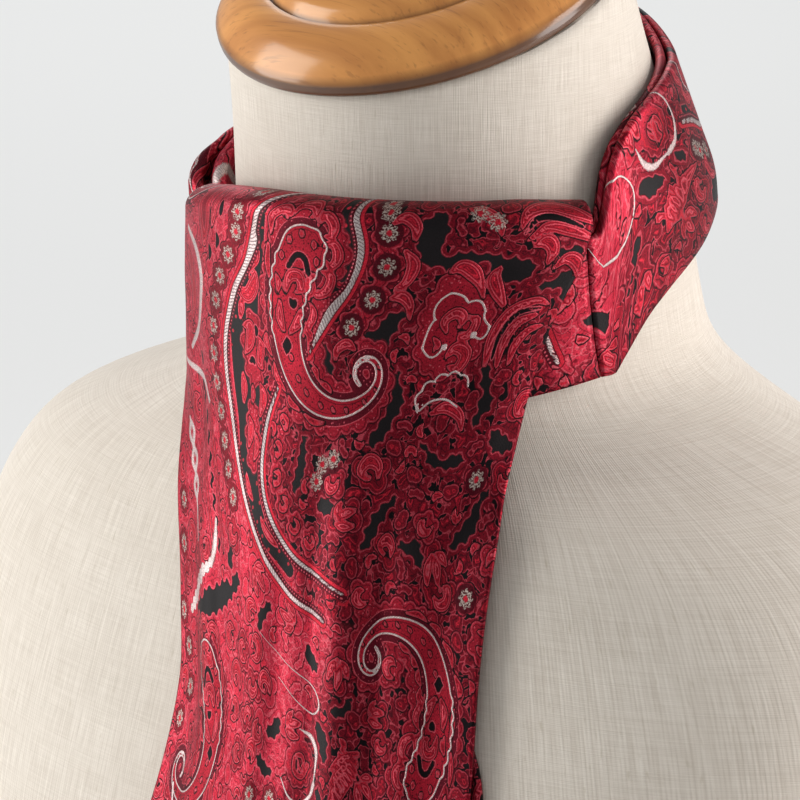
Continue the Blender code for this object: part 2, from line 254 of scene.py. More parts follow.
bmesh.ops.spin(
    shape, geom=points + edges, cent=(0, 0, 0), axis=(0, 0, 1), angle=2 * pi, steps=ROUND_STEPS,
    use_merge=True,
)
bmesh.ops.remove_doubles(shape, verts=shape.verts, dist=1e-6)
bmesh.ops.recalc_face_normals(shape, faces=shape.faces)
# Painted shade: the colour is darkened low on the round edge, where it turns under, and in the groove.
shade_top, shade_fade, groove_reach = 0.0064, 0.0030, 0.0011
painted_shade_share = shape.verts.layers.float.new("painted_shade_share")
for vert in shape.verts:
    foot = min(max((shade_top - vert.co.z) / shade_fade, 0.0), 1.0)
    in_groove = max(0.0, 1 - abs(vert.co.xy.length - groove) / groove_reach)
    vert[painted_shade_share] = max(foot, in_groove)
seat = Matrix.Rotation(cap_lean, 4, "X")
bmesh.ops.transform(
    shape, verts=shape.verts, matrix=Matrix.Translation(cap_seat + seat @ Vector((0, 0, cap_lift))) @ seat
)
cap_mesh = mesh_of(shape, "turned_cap")
cap_mesh.shade_smooth()
cap_mesh.set_sharp_from_angle(angle=radians(50))
turned_cap = add_object(cap_mesh, "turned_cap")

beech = new_material("varnished beech")
GRAIN_TURN = radians(52)


def grain(scale, detail):
    """Noise drawn out along the wood's grain."""
    place = beech.node("TexCoord").outputs["Object"]
    drawn_out = beech.node("Mapping", Vector=place, Rotation=(0, 0, GRAIN_TURN), Scale=scale)
    return beech.noise(drawn_out.outputs[0], 1.0, detail)


flecks = grain((45.0, 1500.0, 500.0), 2.0)
stain_and_painted_shade = beech.blend(
    beech.between(grain((7.0, 210.0, 60.0), 4.0), 0.34, 0.66), (0.520, 0.205, 0.050), (0.720, 0.320, 0.084)
)
stain_and_painted_shade = beech.blend(beech.between(flecks, 0.58, 0.72, 0.0, 0.35), stain_and_painted_shade, (0.230, 0.085, 0.028))
painted_edge_shade = beech.node("Attribute", attribute_name="painted_shade_share", attribute_type="GEOMETRY").outputs["Fac"]
# Painted shade: dark brown laid over the stain low on the round edge and in the groove.
stain_and_painted_shade = beech.blend(beech.calc("MULTIPLY", painted_edge_shade, 0.92), stain_and_painted_shade, (0.046, 0.014, 0.005))
beech.finish(
    Base_Color=stain_and_painted_shade, Roughness=0.40, Specular_IOR_Level=0.20, Coat_Weight=0.62, Coat_Roughness=0.15,
    Normal=beech.node("Bump", Strength=0.12, Distance=0.0002, Height=flecks).outputs[0],
)
cap_mesh.materials.append(beech.material)
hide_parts("neck_cap")
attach(turned_cap, "root")


# The silk. One long strip of jacquard, pleated round the neck, crossed at the throat and rolled over
# in front. First the form's sections, which every stretch follows, and the readers of its sizes.
def table(names, *rows):
    """A table with named columns that reads smoothly between its rows, by the first column."""
    names = names.split()
    data = np.array(rows, float)
    key = data[:, 0]
    steps = np.diff(data, axis=0) / np.diff(key)[:, None]
    slope = np.zeros_like(data)
    slope[0], slope[-1] = steps[0], steps[-1]
    same_way = steps[:-1] * steps[1:] > 0
    total = np.where(same_way, steps[:-1] + steps[1:], 1.0)
    slope[1:-1] = np.where(same_way, 2 * steps[:-1] * steps[1:] / total, 0.0)

    def read(value):
        value = np.clip(value, key[0], key[-1])
        i = np.minimum(np.searchsorted(key, value, "right") - 1, len(key) - 2)
        width = (key[i + 1] - key[i])[..., None]
        t = (value - key[i])[..., None] / width
        row = (
            (2 * t**3 - 3 * t**2 + 1) * data[i]
            + (t**3 - 2 * t**2 + t) * width * slope[i]
            + (3 * t**2 - 2 * t**3) * data[i + 1]
            + (t**3 - t**2) * width * slope[i + 1]
        )
        return SimpleNamespace(**{name: row[..., n] for n, name in enumerate(names)})

    return read


FORM = table(
    "height half_width front  middle  back  squareness",
    (0.000, 0.156, -0.102, -0.002, 0.096, 2.35),
    (0.070, 0.154, -0.099, -0.002, 0.092, 2.35),
    (0.150, 0.144, -0.095, -0.002, 0.082, 2.30),
    (0.230, 0.155, -0.103, 0.000, 0.090, 2.30),
    (0.300, 0.169, -0.109, 0.001, 0.102, 2.35),
    (0.350, 0.178, -0.107, 0.003, 0.110, 2.40),
    (0.400, 0.183, -0.098, 0.007, 0.114, 2.45),
    (0.440, 0.183, -0.089, 0.011, 0.112, 2.40),
    (0.460, 0.179, -0.0845, 0.014, 0.109, 2.35),
    (0.475, 0.171, -0.081, 0.016, 0.106, 2.28),
    (0.487, 0.160, -0.078, 0.017, 0.103, 2.22),
    (0.498, 0.139, -0.0745, 0.017, 0.100, 2.16),
    (0.507, 0.113, -0.0710, 0.017, 0.097, 2.10),
    (0.515, 0.091, -0.0680, 0.017, 0.094, 2.05),
    (0.523, 0.0765, -0.0660, 0.016, 0.092, 2.02),
    (0.532, 0.0715, -0.0650, 0.015, 0.089, 2.00),
    (0.544, 0.0695, -0.0646, 0.013, 0.087, 2.00),
    (0.560, 0.0680, -0.0646, 0.011, 0.083, 2.00),
    (0.578, 0.0675, -0.0645, 0.0085, 0.079, 2.00),
    (0.594, 0.0655, -0.0655, 0.0035, 0.0730, 2.00),
    (0.610, 0.0641, -0.0665, -0.0015, 0.0665, 2.00),
    (0.630, 0.0629, -0.0690, -0.0080, 0.0575, 2.00),
    (0.664, 0.0618, -0.0790, -0.0180, 0.0455, 2.00),
)


def outline(turn, height):
    """Points on the form's surface."""
    ring = FORM(height)
    power = 2 / ring.squareness
    across = np.copysign(np.abs(np.sin(turn)) ** power, np.sin(turn))
    ahead = np.copysign(np.abs(np.cos(turn)) ** power, np.cos(turn))
    depth = np.where(ahead > 0, ring.middle - ring.front, ring.back - ring.middle)
    return np.stack([ring.half_width * across, ring.middle - depth * ahead, height], -1)


def off_form(turn, height, out):
    """Points this far out from the form, level with the surface points under them."""
    turn, height, out = np.broadcast_arrays(turn, height, out)
    ahead = 0.02
    along = outline(turn + ahead, height) - outline(turn - ahead, height)
    along /= np.linalg.norm(along, axis=-1, keepdims=True)
    outwards = np.stack([along[..., 1], -along[..., 0], np.zeros_like(out)], -1)
    return outline(turn, height) + outwards * out[..., None]


SOFT_BEND = 0.012      # how gently the cloth bends away where it would touch the form, in metres


def clear_of_form(point, clear):
    """The points, moved out from the form's middle where they lie nearer to the form than clear."""
    ring = FORM(point[..., 2])
    x, y = point[..., 0], point[..., 1] - ring.middle
    depth = np.where(y < 0, ring.middle - ring.front, ring.back - ring.middle)
    power = ring.squareness
    share = (np.abs(x / ring.half_width) ** power + np.abs(y / depth) ** power) ** (1 / power)
    reach = np.hypot(x, y)
    short = 1 + clear * share / reach - share
    soft = SOFT_BEND / reach * share
    push = np.maximum(short, 0.0) + soft * np.maximum(0.0, 1 - np.abs(short) / soft) ** 2 / 4
    grown = 1 + push / share
    return np.stack([x * grown, ring.middle + y * grown, point[..., 2]], -1)


def ease(value, start, end):
    """0 before start, 1 after end, and smooth between them."""
    t = np.clip((value - start) / (end - start), 0, 1)
    return t * t * (3 - 2 * t)


def mix(a, b, share):
    return a + (b - a) * share


SILK_WALL = 0.0012
REPEAT = 185.0      # the design's length along the strip, in millimetres
REACH = 6.0         # how far past a motif its distances are read
CLEAR = 9.0         # the distance that stands for far away
ROUTE_STEPS = 8      # straight steps between two given points of a route
HERE = (0, 0, 0, 1, 1)

motifs = {layer: [] for layer in ("hole", "lobe", "petal", "halo", "boteh", "leaf", "dark", "silver")}
lines = {"rope": [], "scroll": []}
flowers = []


def smooth_route(*points):
    """A smooth line through a few (across, along, half width) points of the cut, in millimetres."""
    given = np.array(points, float)
    ends = np.vstack([2 * given[0] - given[1], given, 2 * given[-1] - given[-2]])
    t = np.arange(ROUTE_STEPS)[:, None] / ROUTE_STEPS
    spans = [
        0.5 * (2 * b + (c - a) * t + (2 * a - 5 * b + 4 * c - d) * t**2 + (3 * b - a - 3 * c + d) * t**3)
        for a, b, c, d in zip(ends, ends[1:], ends[2:], ends[3:])
    ]
    return np.vstack(spans + [given[-1:]])


def moved(route, at):
    """A route set down elsewhere: at is (across, along, degrees, size, side), side -1 for a mirror image."""
    across, along, degrees, size, side = at
    x, y = route[:, 0] * side * size, route[:, 1] * size
    c, s = cos(radians(degrees)), sin(radians(degrees))
    return np.stack([across + c * x - s * y, along + s * x + c * y, route[:, 2] * size], -1)


def headings(route):
    """The unit steps ahead and to the left, at each point of a route."""
    ahead = np.gradient(route[:, :2], axis=0)
    ahead /= np.linalg.norm(ahead, axis=1, keepdims=True)
    return ahead, np.stack([-ahead[:, 1], ahead[:, 0]], -1)


def run_of(path):
    """How far along a path each of its points lies."""
    return np.concatenate([[0], np.cumsum(np.linalg.norm(np.diff(path, axis=0), axis=1))])


def places_at(marks, path):
    """The places that lie this far along a path."""
    return np.stack([np.interp(marks, run_of(path), way) for way in path.T], -1)


def lay_round(route, out, spacing):
    """Places evenly spaced round a stroke's outline, this far outside its half width."""
    ahead, left = headings(route)
    side = left * (route[:, 2:] + out)
    angles = np.linspace(0, pi, 9)[1:-1, None]

    def cap(end, ahead, aside):
        return end + aside * np.cos(angles) + ahead * np.linalg.norm(aside) * np.sin(angles)

    loop = np.vstack([
        route[:, :2] + side,
        cap(route[-1, :2], ahead[-1], side[-1]),
        (route[:, :2] - side)[::-1],
        cap(route[0, :2], -ahead[0], -side[0]),
    ])
    loop = np.vstack([loop, loop[:1]])
    length = run_of(loop)[-1]
    count = max(4, round(length / spacing))
    return places_at((np.arange(count) + 0.5) * length / count, loop)


def lay_beside(points, out, first, spacing, count):
    """Places in a row along a route, this far to its right."""
    route = smooth_route(*points)
    return places_at(first + spacing * np.arange(count), route[:, :2] - out * headings(route)[1])


def add_strokes(layer, *strokes, at=HERE):
    """Tapering strokes, each a few (across, along, half width) points."""
    motifs[layer] += [moved(smooth_route(*points), at) for points in strokes]


def add_dot(layer, across, along, radius, at=HERE):
    across, along, radius = moved(np.array([(across, along, radius)]), at)[0]
    motifs[layer].append(np.array([(across, along, radius), (across + 0.1, along, radius)]))


def add_scalloped(layer, spacing, radius, *points, at=HERE):
    """A stroke with round scallops all along its outline."""
    route = moved(smooth_route(*points), at)
    motifs[layer].append(route)
    size = at[3]
    for number, place in enumerate(lay_round(route, -0.3 * radius * size, spacing * size)):
        add_dot(layer, *place, radius * size * (1 + 0.22 * sin(2.4 * number)))


def add_hole(*points, at=HERE, spacing=4.6, lobe=2.1):
    """A patch of bare dark ground, with the red round it bulging in as lobes."""
    route = moved(smooth_route(*points), at)
    motifs["hole"].append(route)
    if lobe:
        for number, (across, along) in enumerate(lay_round(route, 0.25 * lobe, spacing)):
            add_dot("lobe", across, along, lobe * (1 + 0.35 * sin(2.1 * number + along)))


def add_rope(dots_side, *points):
    """A silver rope; its dots run on its right for a side of 1, and on its left for -1."""
    lines["rope"].append((smooth_route(*points), dots_side))


def add_scrolls(*strokes):
    """Thin silver lines."""
    lines["scroll"] += [(smooth_route(*points), 1) for points in strokes]


def add_rosette(layer, room, stretch, across, along, radius):
    """A round of scallops, a little longer down the strip."""
    add_scalloped(layer, 2 * radius, radius, (across, along - stretch, room), (across, along + stretch, room))


def beside(route, place):
    """How far each place lies along a route, aside from it in half widths, and past its edge."""
    start, step = route[:-1], np.diff(route, axis=0)
    length = np.hypot(step[:, 0], step[:, 1])
    offset = place[:, None] - start[None, :, :2]
    share = np.clip((offset * step[:, :2]).sum(-1) / length**2, 0, 1)
    gap = offset - share[..., None] * step[:, :2]
    half_width = start[:, 2] + share * step[:, 2]
    past = np.hypot(gap[..., 0], gap[..., 1]) - half_width
    nearest = past.argmin(1)
    rows = np.arange(len(place))
    travelled = np.concatenate([[0], np.cumsum(length)])[nearest] + (share * length)[rows, nearest]
    turned = step[nearest, 0] * gap[rows, nearest, 1] - step[nearest, 1] * gap[rows, nearest, 0]
    return travelled, -turned / length[nearest] / half_width[rows, nearest], past[rows, nearest]


def measure(place):
    """How far each place of the cut lies from each layer of the design, in millimetres."""
    count = len(place)
    far = {layer: np.full(count, CLEAR) for layer in motifs}
    drawn = {name: np.tile([0.0, 3 * CLEAR, CLEAR], (count, 1)) for name in lines}
    flower = np.full((count, 3), CLEAR)
    order = np.argsort(place[:, 1])
    ordered = place[order, 1]

    def near(route, repeat):
        """The numbers of the places within reach of a route, in this repeat of the design."""
        reach = route[:, 2].max() + REACH
        low, high = route[:, :2].min(0) - reach, route[:, :2].max(0) + reach
        first, last = np.searchsorted(ordered, np.array([low[1], high[1]]) + repeat * REPEAT)
        these = order[first:last]
        return these[(place[these, 0] > low[0]) & (place[these, 0] < high[0])]

    def keep_nearest(kept, these, found):
        """Takes over what is found where its last number, a distance, is less than the one kept."""
        closer = found[:, 2] < kept[these, 2]
        kept[these[closer]] = found[closer]

    for repeat in range(floor(ordered[0] / REPEAT) - 1, ceil(ordered[-1] / REPEAT) + 1):
        start = (0, repeat * REPEAT)
        for layer, routes in motifs.items():
            for route in routes:
                these = near(route, repeat)
                if len(these):
                    far[layer][these] = np.minimum(far[layer][these], beside(route, place[these] - start)[2])
        for name, routes in lines.items():
            for route, side in routes:
                these = near(route, repeat)
                if len(these):
                    travelled, aside, past = beside(route, place[these] - start)
                    keep_nearest(drawn[name], these, np.stack([travelled, aside * side, past], -1))
        for middle in flowers:
            these = near(np.array([(*middle, 0.0)]), repeat)
            offset = place[these] - start - middle
            keep_nearest(flower, these, np.column_stack([offset, np.hypot(*offset.T)]))
    cloud = np.minimum(np.maximum(-CLEAR, -far["hole"]), far["lobe"])
    return {
        "grounds": np.stack([cloud, far["halo"], far["boteh"]], -1),
        "figures": np.stack([far["leaf"], far["dark"], far["silver"]], -1),
        "petals": np.stack([far["petal"]] * 3, -1),
        "flower": flower,
        **drawn,
    }


def weave_pattern(mesh, cut):
    """Keeps each point's place in the cut, and its distances in the design, on the mesh."""
    place = cut * 1000
    right_of_rope = place[:, 0] - np.interp(place[:, 1] % REPEAT, *ROPE_COURSE)
    for name, values in {"cut": np.column_stack([place, right_of_rope]), **measure(place)}.items():
        field = mesh.attributes.new(name, "FLOAT_VECTOR", "POINT")
        field.data.foreach_set("vector", values.astype(np.float32).ravel())


# The design: a large boteh, a drop whose tail turns tighter and tighter into a curl as it thins, in a
# scalloped halo full of curls.
BOTEH_LENGTH = 97.0
run = np.linspace(0, BOTEH_LENGTH, 57)
bend = np.radians(-30 + 145 * ((run + 2.5) / 70) ** 1.5 + 400 * ease(run, 70, 124))
steps = np.stack([np.sin(bend), np.cos(bend)], -1) * run[1]
boteh_line = (9.3, 18.4) + np.cumsum(steps, axis=0) - steps[0]
share = run / BOTEH_LENGTH
boteh_widths = 0.45 + 7.2 * (1 - share) ** 1.9 * (1 + 1.25 * share)
BOTEH = np.column_stack([boteh_line, boteh_widths])


def on_boteh(run, aside):
    """A place this far along the boteh's middle line, and this share of its half width to one side."""
    i = int(run / BOTEH_LENGTH * (len(BOTEH) - 1))
    return tuple(BOTEH[i, :2] + aside * BOTEH[i, 2] * np.array([cos(bend[i]), -sin(bend[i])]))


def add_boteh(at=HERE):
    motifs["boteh"].append(moved(BOTEH, at))
    for place in lay_round(BOTEH[:15], -1.5, 4.3)[1:-2]:
        add_dot("boteh", *place, 2.2, at=at)
    halo = BOTEH[:50:7] + (0, 0, 4.0)
    halo[:4] += (1.8, -0.6, 1.2)
    add_scalloped("halo", 5.2, 2.6, *halo, at=at)
    for aside in (-1.75, 1.75):
        for number, run in enumerate((26, 34, 42, 50)):
            start, middle, end = (
                on_boteh(run + ahead, aside * grown) for ahead, grown in ((0, 0.9), (3, 1), (6, 0.9))
            )
            add_strokes("leaf", ((*start, 0.5), (*middle, 1.3 - 0.1 * number), (*end, 0.5)), at=at)
    add_strokes(
        "leaf",
        # Curls round the head, in the halo.
        ((-2.2, 14.5, 0.5), (-1.8, 9.5, 1.4), (1.6, 6.6, 1.7), (4.6, 7.6, 1.2), (3.6, 9.4, 0.5)),
        ((5.8, 7.8, 0.5), (7.4, 4.6, 1.4), (11.2, 4.2, 1.8), (13.2, 6.8, 1.2), (11.6, 8.4, 0.5)),
        ((14.4, 10.6, 0.5), (16.0, 7.2, 1.3), (19.2, 9.6, 1.8), (18.8, 13.4, 1.2), (16.6, 13.4, 0.5)),
        ((16.2, 16.4, 0.5), (19.6, 15.6, 1.4), (21.4, 19.4, 1.8), (19.4, 22.4, 1.2), (17.6, 20.8, 0.5)),
        ((16.4, 24.0, 0.5), (19.8, 25.2, 1.5), (19.0, 29.4, 1.7), (15.4, 31.2, 1.1), (14.6, 29.0, 0.5)),
        ((13.4, 34.0, 0.6), (14.6, 37.2, 1.5), (12.4, 41.2, 1.2), (10.8, 43.6, 0.5)),
        ((-3.4, 18.0, 0.7), (-3.8, 23.0, 1.1), (-3.0, 28.0, 0.6)),
        ((-2.6, 31.0, 0.6), (-3.4, 36.0, 1.0), (-3.2, 41.0, 0.6)),
        # Figures inside it.
        ((3.4, 31.6, 0.6), (5.0, 26.8, 1.9), (8.4, 26.2, 1.9), (9.6, 29.6, 1.5), (7.4, 31.2, 0.5)),
        ((10.6, 33.6, 0.5), (13.2, 29.6, 1.6), (12.2, 25.4, 1.2), (10.2, 24.4, 0.4)),
        ((1.0, 34.4, 0.7), (0.8, 38.8, 1.7), (2.4, 42.6, 0.9)),
        ((9.4, 36.2, 0.7), (8.6, 39.6, 1.9), (5.4, 43.0, 0.9)),
        ((-0.4, 26.6, 0.5), (0.6, 29.2, 1.2), (0.0, 32.0, 0.5)),
        at=at,
    )
    for across, along in ((4.6, 15.6), (9.0, 13.4), (13.2, 16.4), (1.8, 20.6), (14.4, 21.4), (13.8, 26.0)):
        bead = [(across, along + ahead, wide) for ahead, wide in ((-0.6, 0.8), (0, 1.0), (0.6, 0.8))]
        add_strokes("leaf", bead, at=at)
    for run in range(34, 83, 6):
        across, along = on_boteh(run, 0)
        bead = [(across + ahead, along + ahead, 1.1 - 0.008 * run) for ahead in (0, 0.4, 0.8)]
        add_strokes("leaf", bead, at=at)
    add_strokes(
        "dark",
        ((4.4, 23.6, 0.9), (7.2, 20.0, 0.9), (10.2, 20.8, 0.9), (11.8, 25.2, 0.9)),
        ((5.2, 33.4, 0.4), (6.4, 34.8, 1.3), (7.8, 33.6, 0.4)),
        ((4.2, 44.6, 0.2), (4.2, 47.2, 1.6), (4.2, 49.8, 0.2)),
        ((2.0, 47.2, 0.2), (4.2, 47.2, 1.4), (6.4, 47.2, 0.2)),
        at=at,
    )


add_boteh()
add_boteh((84, 182, 180, 0.94, 1))
add_boteh((-42, 128, -8, 0.92, -1))

# Ropes of silver run down between the figures, with a row of dots on one side and a stripe on the other.
ROPE_A = (
    (0, -3, 0.8), (-6.6, 6, 0.9), (-9.3, 14, 0.9), (-9.8, 18, 1.6), (-13.4, 25, 1.0), (-21, 35, 1.0),
    (-27.2, 50, 1.0), (-26.2, 68, 0.95), (-20, 85, 0.85), (-8, 102, 0.8), (10, 117, 0.7), (30, 123, 0.5),
)
ROPE_B = (
    (23.6, -4, 0.6), (25.4, 6, 0.8), (28.2, 17, 0.95), (26.2, 28, 0.8), (20.2, 36.5, 1.3), (13.6, 49, 0.2),
)
ROPE_C = ((0.6, 60, 0.4), (-4.4, 71, 0.8), (-5.0, 84, 0.8), (1, 96, 0.75), (14, 107, 0.65), (38, 114, 0.35))
ROPE_COURSE = np.array([(along, across) for across, along, _ in (*ROPE_A[1:], (-2, REPEAT - 3, 1))]).T
add_rope(1, *ROPE_A)
add_rope(-1, *ROPE_B)
add_rope(-1, *ROPE_C)
for rope, out, first, spacing, count, room, stretch, radius in (
    (ROPE_A, -8.2, 3, 8.6, 14, 3.2, 0.6, 1.7), (ROPE_B, 8.6, 7, 10.2, 5, 4.0, 0.8, 2.0),
):
    for place in lay_beside(rope, out, first, spacing, count):
        flowers.append(place)
        add_rosette("halo", room, stretch, *place, radius)

# Between the left rope and the boteh the dark ground shows, with bright buds on it.
add_hole((-5, 3, 1.5), (-7.4, 12, 2.6), (-9, 22, 3.2), (-14, 33, 5.6), (-16.5, 45, 6.8), (-15.5, 60, 7.4),
         (-14, 72, 6.8), (-13, 84, 5.4), (-8, 94, 3.6), (0, 103, 2.6), (12, 111, 2.0), lobe=0)
add_hole((20.8, 1, 1.2), (23.0, 10, 1.8), (24.8, 18, 1.8), (23.6, 25, 1.6), lobe=0)
add_scalloped("halo", 4.2, 2.1, (-12.6, 41.5, 2.6), (-12.2, 49.5, 5.0), (-11.0, 57.5, 3.4))
add_scalloped("halo", 4.0, 2.0, (-12.6, 68.5, 2.4), (-12.0, 76.0, 3.4), (-10.6, 82.5, 2.4))
add_strokes(
    "leaf",
    ((-7.6, 20.6, 0.8), (-9.2, 23.2, 1.9), (-11.8, 25.8, 1.4), (-12.4, 28.2, 0.5)),
    ((-9.4, 27.8, 1.2), (-10.4, 31.2, 2.5), (-13.6, 34.4, 2.5), (-17.0, 33.2, 1.6), (-18.4, 30.2, 0.6)),
    ((-16.6, 35.6, 0.7), (-17.2, 38.2, 1.6), (-18.0, 41.0, 0.9)),
    ((-16.8, 43.4, 0.6), (-13.4, 43.6, 2.0), (-13.8, 48.2, 2.2), (-16.2, 51.6, 0.7)),
    ((-9.4, 46.4, 0.6), (-8.0, 49.4, 1.9), (-8.8, 53.4, 1.8), (-7.4, 55.4, 0.6)),
    ((-17.8, 57.8, 0.7), (-17.2, 62.0, 1.8), (-17.8, 66.4, 0.7)),
    ((-8.4, 60.2, 0.6), (-6.8, 63.8, 2.0), (-8.4, 68.6, 1.2)),
    ((-12.8, 60.8, 0.5), (-12.4, 63.6, 1.3), (-12.8, 66.0, 0.5)),
    ((-14.4, 70.4, 0.6), (-13.2, 74.0, 1.9), (-14.0, 78.4, 0.8)),
    ((-10.2, 75.0, 0.6), (-9.0, 78.6, 1.7), (-10.2, 82.0, 0.6)),
    ((-14.4, 86.4, 0.5), (-12.6, 90.2, 1.5), (-9.4, 93.4, 0.6)),
    ((-3.8, 97.6, 0.5), (-1.2, 100.6, 1.3), (3.0, 103.6, 1.2), (6.0, 105.2, 0.4)),
)
add_strokes(
    "dark",
    ((-14.0, 54.2, 0.5), (-12.6, 53.2, 0.9), (-11.4, 54.4, 0.5)),
    ((-10.8, 43.2, 0.4), (-10.2, 44.6, 0.9), (-10.6, 46.0, 0.4)),
)

# Right of the lower rope: a chain of curled medallions, then lobed ground and a large silver flower.
CURL = ((-2.0, 0.6, 0.4), (-0.8, -1.8, 0.8), (1.6, -0.8, 0.9), (1.2, 1.6, 0.8), (-0.4, 1.2, 0.4))
for number, place in enumerate(lay_beside(ROPE_C, 7.6, 7, 8.2, 6)):
    add_rosette("halo", 3.0, 0.6, *place, 1.6)
    add_strokes("leaf", CURL, at=(*place, 25 * number, 1, 1))
add_hole((14.6, 72, 1.6), (14.2, 79, 2.2), (12.4, 87, 2.6), spacing=3.6, lobe=1.5)
add_hole((19.6, 46.5, 1.8), (20.6, 52, 3.2), (24.0, 56.4, 2.4), spacing=4.2, lobe=1.7)
flowers += [(23.0, 79.5), (27.5, 77.5), (21.5, 84.5)]

# On the right the red is one scalloped cloud with ragged patches of ground between its lobes.
for patch in (
    ((51, 5, 2.6), (48.5, 11.5, 4.8), (51, 18.5, 3.8), (58, 18.8, 2.7), (65, 18.0, 2.7), (71, 21.4, 4.0),
     (78, 23.4, 4.2)),
    ((83, 16.0, 1.6), (89, 17.6, 2.6), (94, 15.0, 2.0)),
    ((85, 27.0, 2.0), (92, 25.0, 3.0), (97, 30, 3)),
    ((34.4, 41.5, 2.8), (39.0, 41.0, 4.6), (44.0, 36.0, 2.8)),
    ((46.6, 52.0, 2.2), (48.4, 58.0, 2.6), (46.4, 66.0, 3.0), (41.0, 72.0, 2.2)),
    ((76, 50, 2.0), (80, 58, 2.8), (78, 67, 2.0)),
    ((60, 72, 2.0), (67, 77, 2.7), (75, 76, 1.8)),
    ((54, 88, 2.2), (47, 94, 2.8), (44, 102, 1.8)),
    ((88, 86, 2.2), (84, 95, 2.8), (77, 100, 1.8)),
):
    add_hole(*patch)

# The cloud's own figure: an open silver scroll of lobes with ball ends, and two arcs under it.
CLOUD_SCROLL = np.array((
    (60.6, 44.4), (57.4, 47.2), (53.6, 44.6), (54.4, 38.8), (55.6, 36.6), (54.8, 32.2), (58.2, 28.4),
    (62.4, 29.6), (64.2, 31.6), (68.2, 31.2), (71.4, 34.4), (71.8, 36.4), (74.6, 38.6), (73.2, 42.0),
    (70.0, 41.2),
))
ARC_ENDS = np.array(((55.4, 61.6), (56.4, 57.0), (60.2, 54.2), (64.6, 52.6), (69.0, 52.6), (72.4, 55.0)))


def add_lobe(a, pull, c):
    """A lobe of a silver scroll, from a to c, that bulges halfway to pull."""
    t = np.linspace(0, 1, 5)[:, None]
    lobe = (1 - t) ** 2 * a + 2 * t * (1 - t) * pull + t * t * c
    add_scrolls(np.column_stack([lobe, np.full(len(t), 0.29)]))


for a, b, c in zip(CLOUD_SCROLL[::2], CLOUD_SCROLL[1::2], CLOUD_SCROLL[2::2]):
    add_lobe(a, 2 * b - (a + c) / 2, c)
for a, c in zip(ARC_ENDS, ARC_ENDS[1:]):
    add_lobe(a, (a + c) / 2 + 0.55 * np.array([c[1] - a[1], a[0] - c[0]]), c)
add_scrolls(((56.6, 62.6, 0.25), (60.4, 59.8, 0.30), (65.4, 59.4, 0.30), (69.4, 61.2, 0.25)))
add_dot("silver", 60.8, 44.2, 1.0)
add_dot("silver", 69.8, 41.0, 1.1)
add_scalloped("halo", 5.4, 2.8, (61, 33, 9.5), (65, 39, 9.5), (60, 44, 8.0))
add_strokes(
    "leaf",
    ((60.4, 40.0, 0.5), (58.8, 36.8, 1.4), (61.6, 34.4, 1.7), (64.8, 36.0, 1.3), (63.8, 38.6, 0.5)),
    ((66.4, 35.6, 0.5), (69.4, 37.0, 1.4), (68.4, 40.6, 1.6), (65.6, 41.8, 1.2), (65.2, 39.8, 0.5)),
    ((62.0, 47.4, 0.5), (64.8, 44.6, 1.8), (68.8, 46.4, 2.2), (67.4, 50.4, 1.8), (63.8, 50.0, 0.6)),
    ((56.8, 41.6, 0.5), (58.6, 43.6, 1.0), (57.6, 45.2, 0.5)),
    ((60.6, 63.6, 0.6), (66.0, 61.6, 1.8), (71.4, 64.0, 1.6), (73.0, 68.0, 0.6)),
)

# Leaves and fans in the cloud's upper right, long and bright, cut with dark crescents.
add_strokes(
    "leaf",
    ((73.0, 10.6, 0.5), (75.6, 5.2, 1.8), (81.6, 3.0, 2.3), (88.6, 4.6, 2.3), (95.6, 7.4, 1.4)),
    ((76.4, 13.4, 0.6), (81.4, 9.4, 1.6), (88.4, 10.4, 1.8), (95.6, 12.6, 1.2)),
    ((78.6, 15.0, 0.8), (82.0, 13.6, 2.2), (84.6, 16.2, 2.0), (84.0, 20.0, 0.8)),
    ((86.6, 21.6, 0.6), (90.0, 18.6, 1.8), (94.0, 20.2, 2.1), (96.0, 23.6, 1.0)),
    ((56.0, 22.2, 0.8), (58.6, 20.6, 2.0), (62.6, 22.6, 2.2), (66.4, 26.4, 1.2), (69.0, 30.4, 0.5)),
    ((70.6, 21.6, 0.8), (69.6, 24.4, 2.0), (72.4, 28.2, 1.9), (76.2, 32.4, 0.9)),
    ((76.6, 50.0, 0.7), (76.4, 42.0, 1.7), (79.4, 34.6, 1.8), (85.8, 31.2, 1.2), (90.6, 32.2, 0.5)),
    ((80.6, 50.0, 0.7), (80.4, 43.4, 1.6), (83.0, 37.6, 1.5), (88.0, 35.2, 0.8)),
    ((84.4, 49.4, 0.6), (84.6, 44.2, 1.4), (87.4, 39.8, 1.2), (91.6, 38.4, 0.6)),
    ((57.6, 3.4, 0.6), (61.6, 4.2, 1.8), (66.4, 7.6, 1.6), (68.0, 11.6, 0.6)),
    ((36.8, 8.4, 0.6), (40.0, 6.4, 1.8), (43.4, 8.8, 1.8), (43.6, 12.8, 0.8)),
    ((41.4, 16.4, 0.8), (44.4, 20.4, 2.0), (43.6, 25.4, 1.6), (40.6, 27.8, 0.6)),
    ((39.8, 30.6, 0.6), (43.4, 29.8, 1.8), (46.4, 32.4, 1.4), (47.2, 36.2, 0.6)),
    ((30.6, 46.0, 0.6), (27.6, 44.4, 1.6), (24.4, 46.4, 1.4), (24.0, 49.6, 0.5)),
)
add_strokes(
    "dark",
    ((74.8, 11.4, 0.3), (78.0, 7.2, 0.8), (84.0, 6.6, 0.9), (92.0, 9.4, 0.5)),
    ((78.4, 48.0, 0.3), (78.6, 41.4, 0.7), (82.0, 34.8, 0.7), (88.6, 33.4, 0.3)),
)
flowers += [(66.4, 7.8), (61.0, 5.0), (35.0, 5.0)]

# Low in the repeat, where the strip goes round the neck: a spiral in a scalloped round, a pointed
# silver line that half rings it, a looped silver line, and a fan of bright leaves.
SPIRAL = np.array((19.5, 166.0))


def around(middle, reach, degrees):
    return middle[0] + reach * cos(radians(degrees)), middle[1] + reach * sin(radians(degrees))


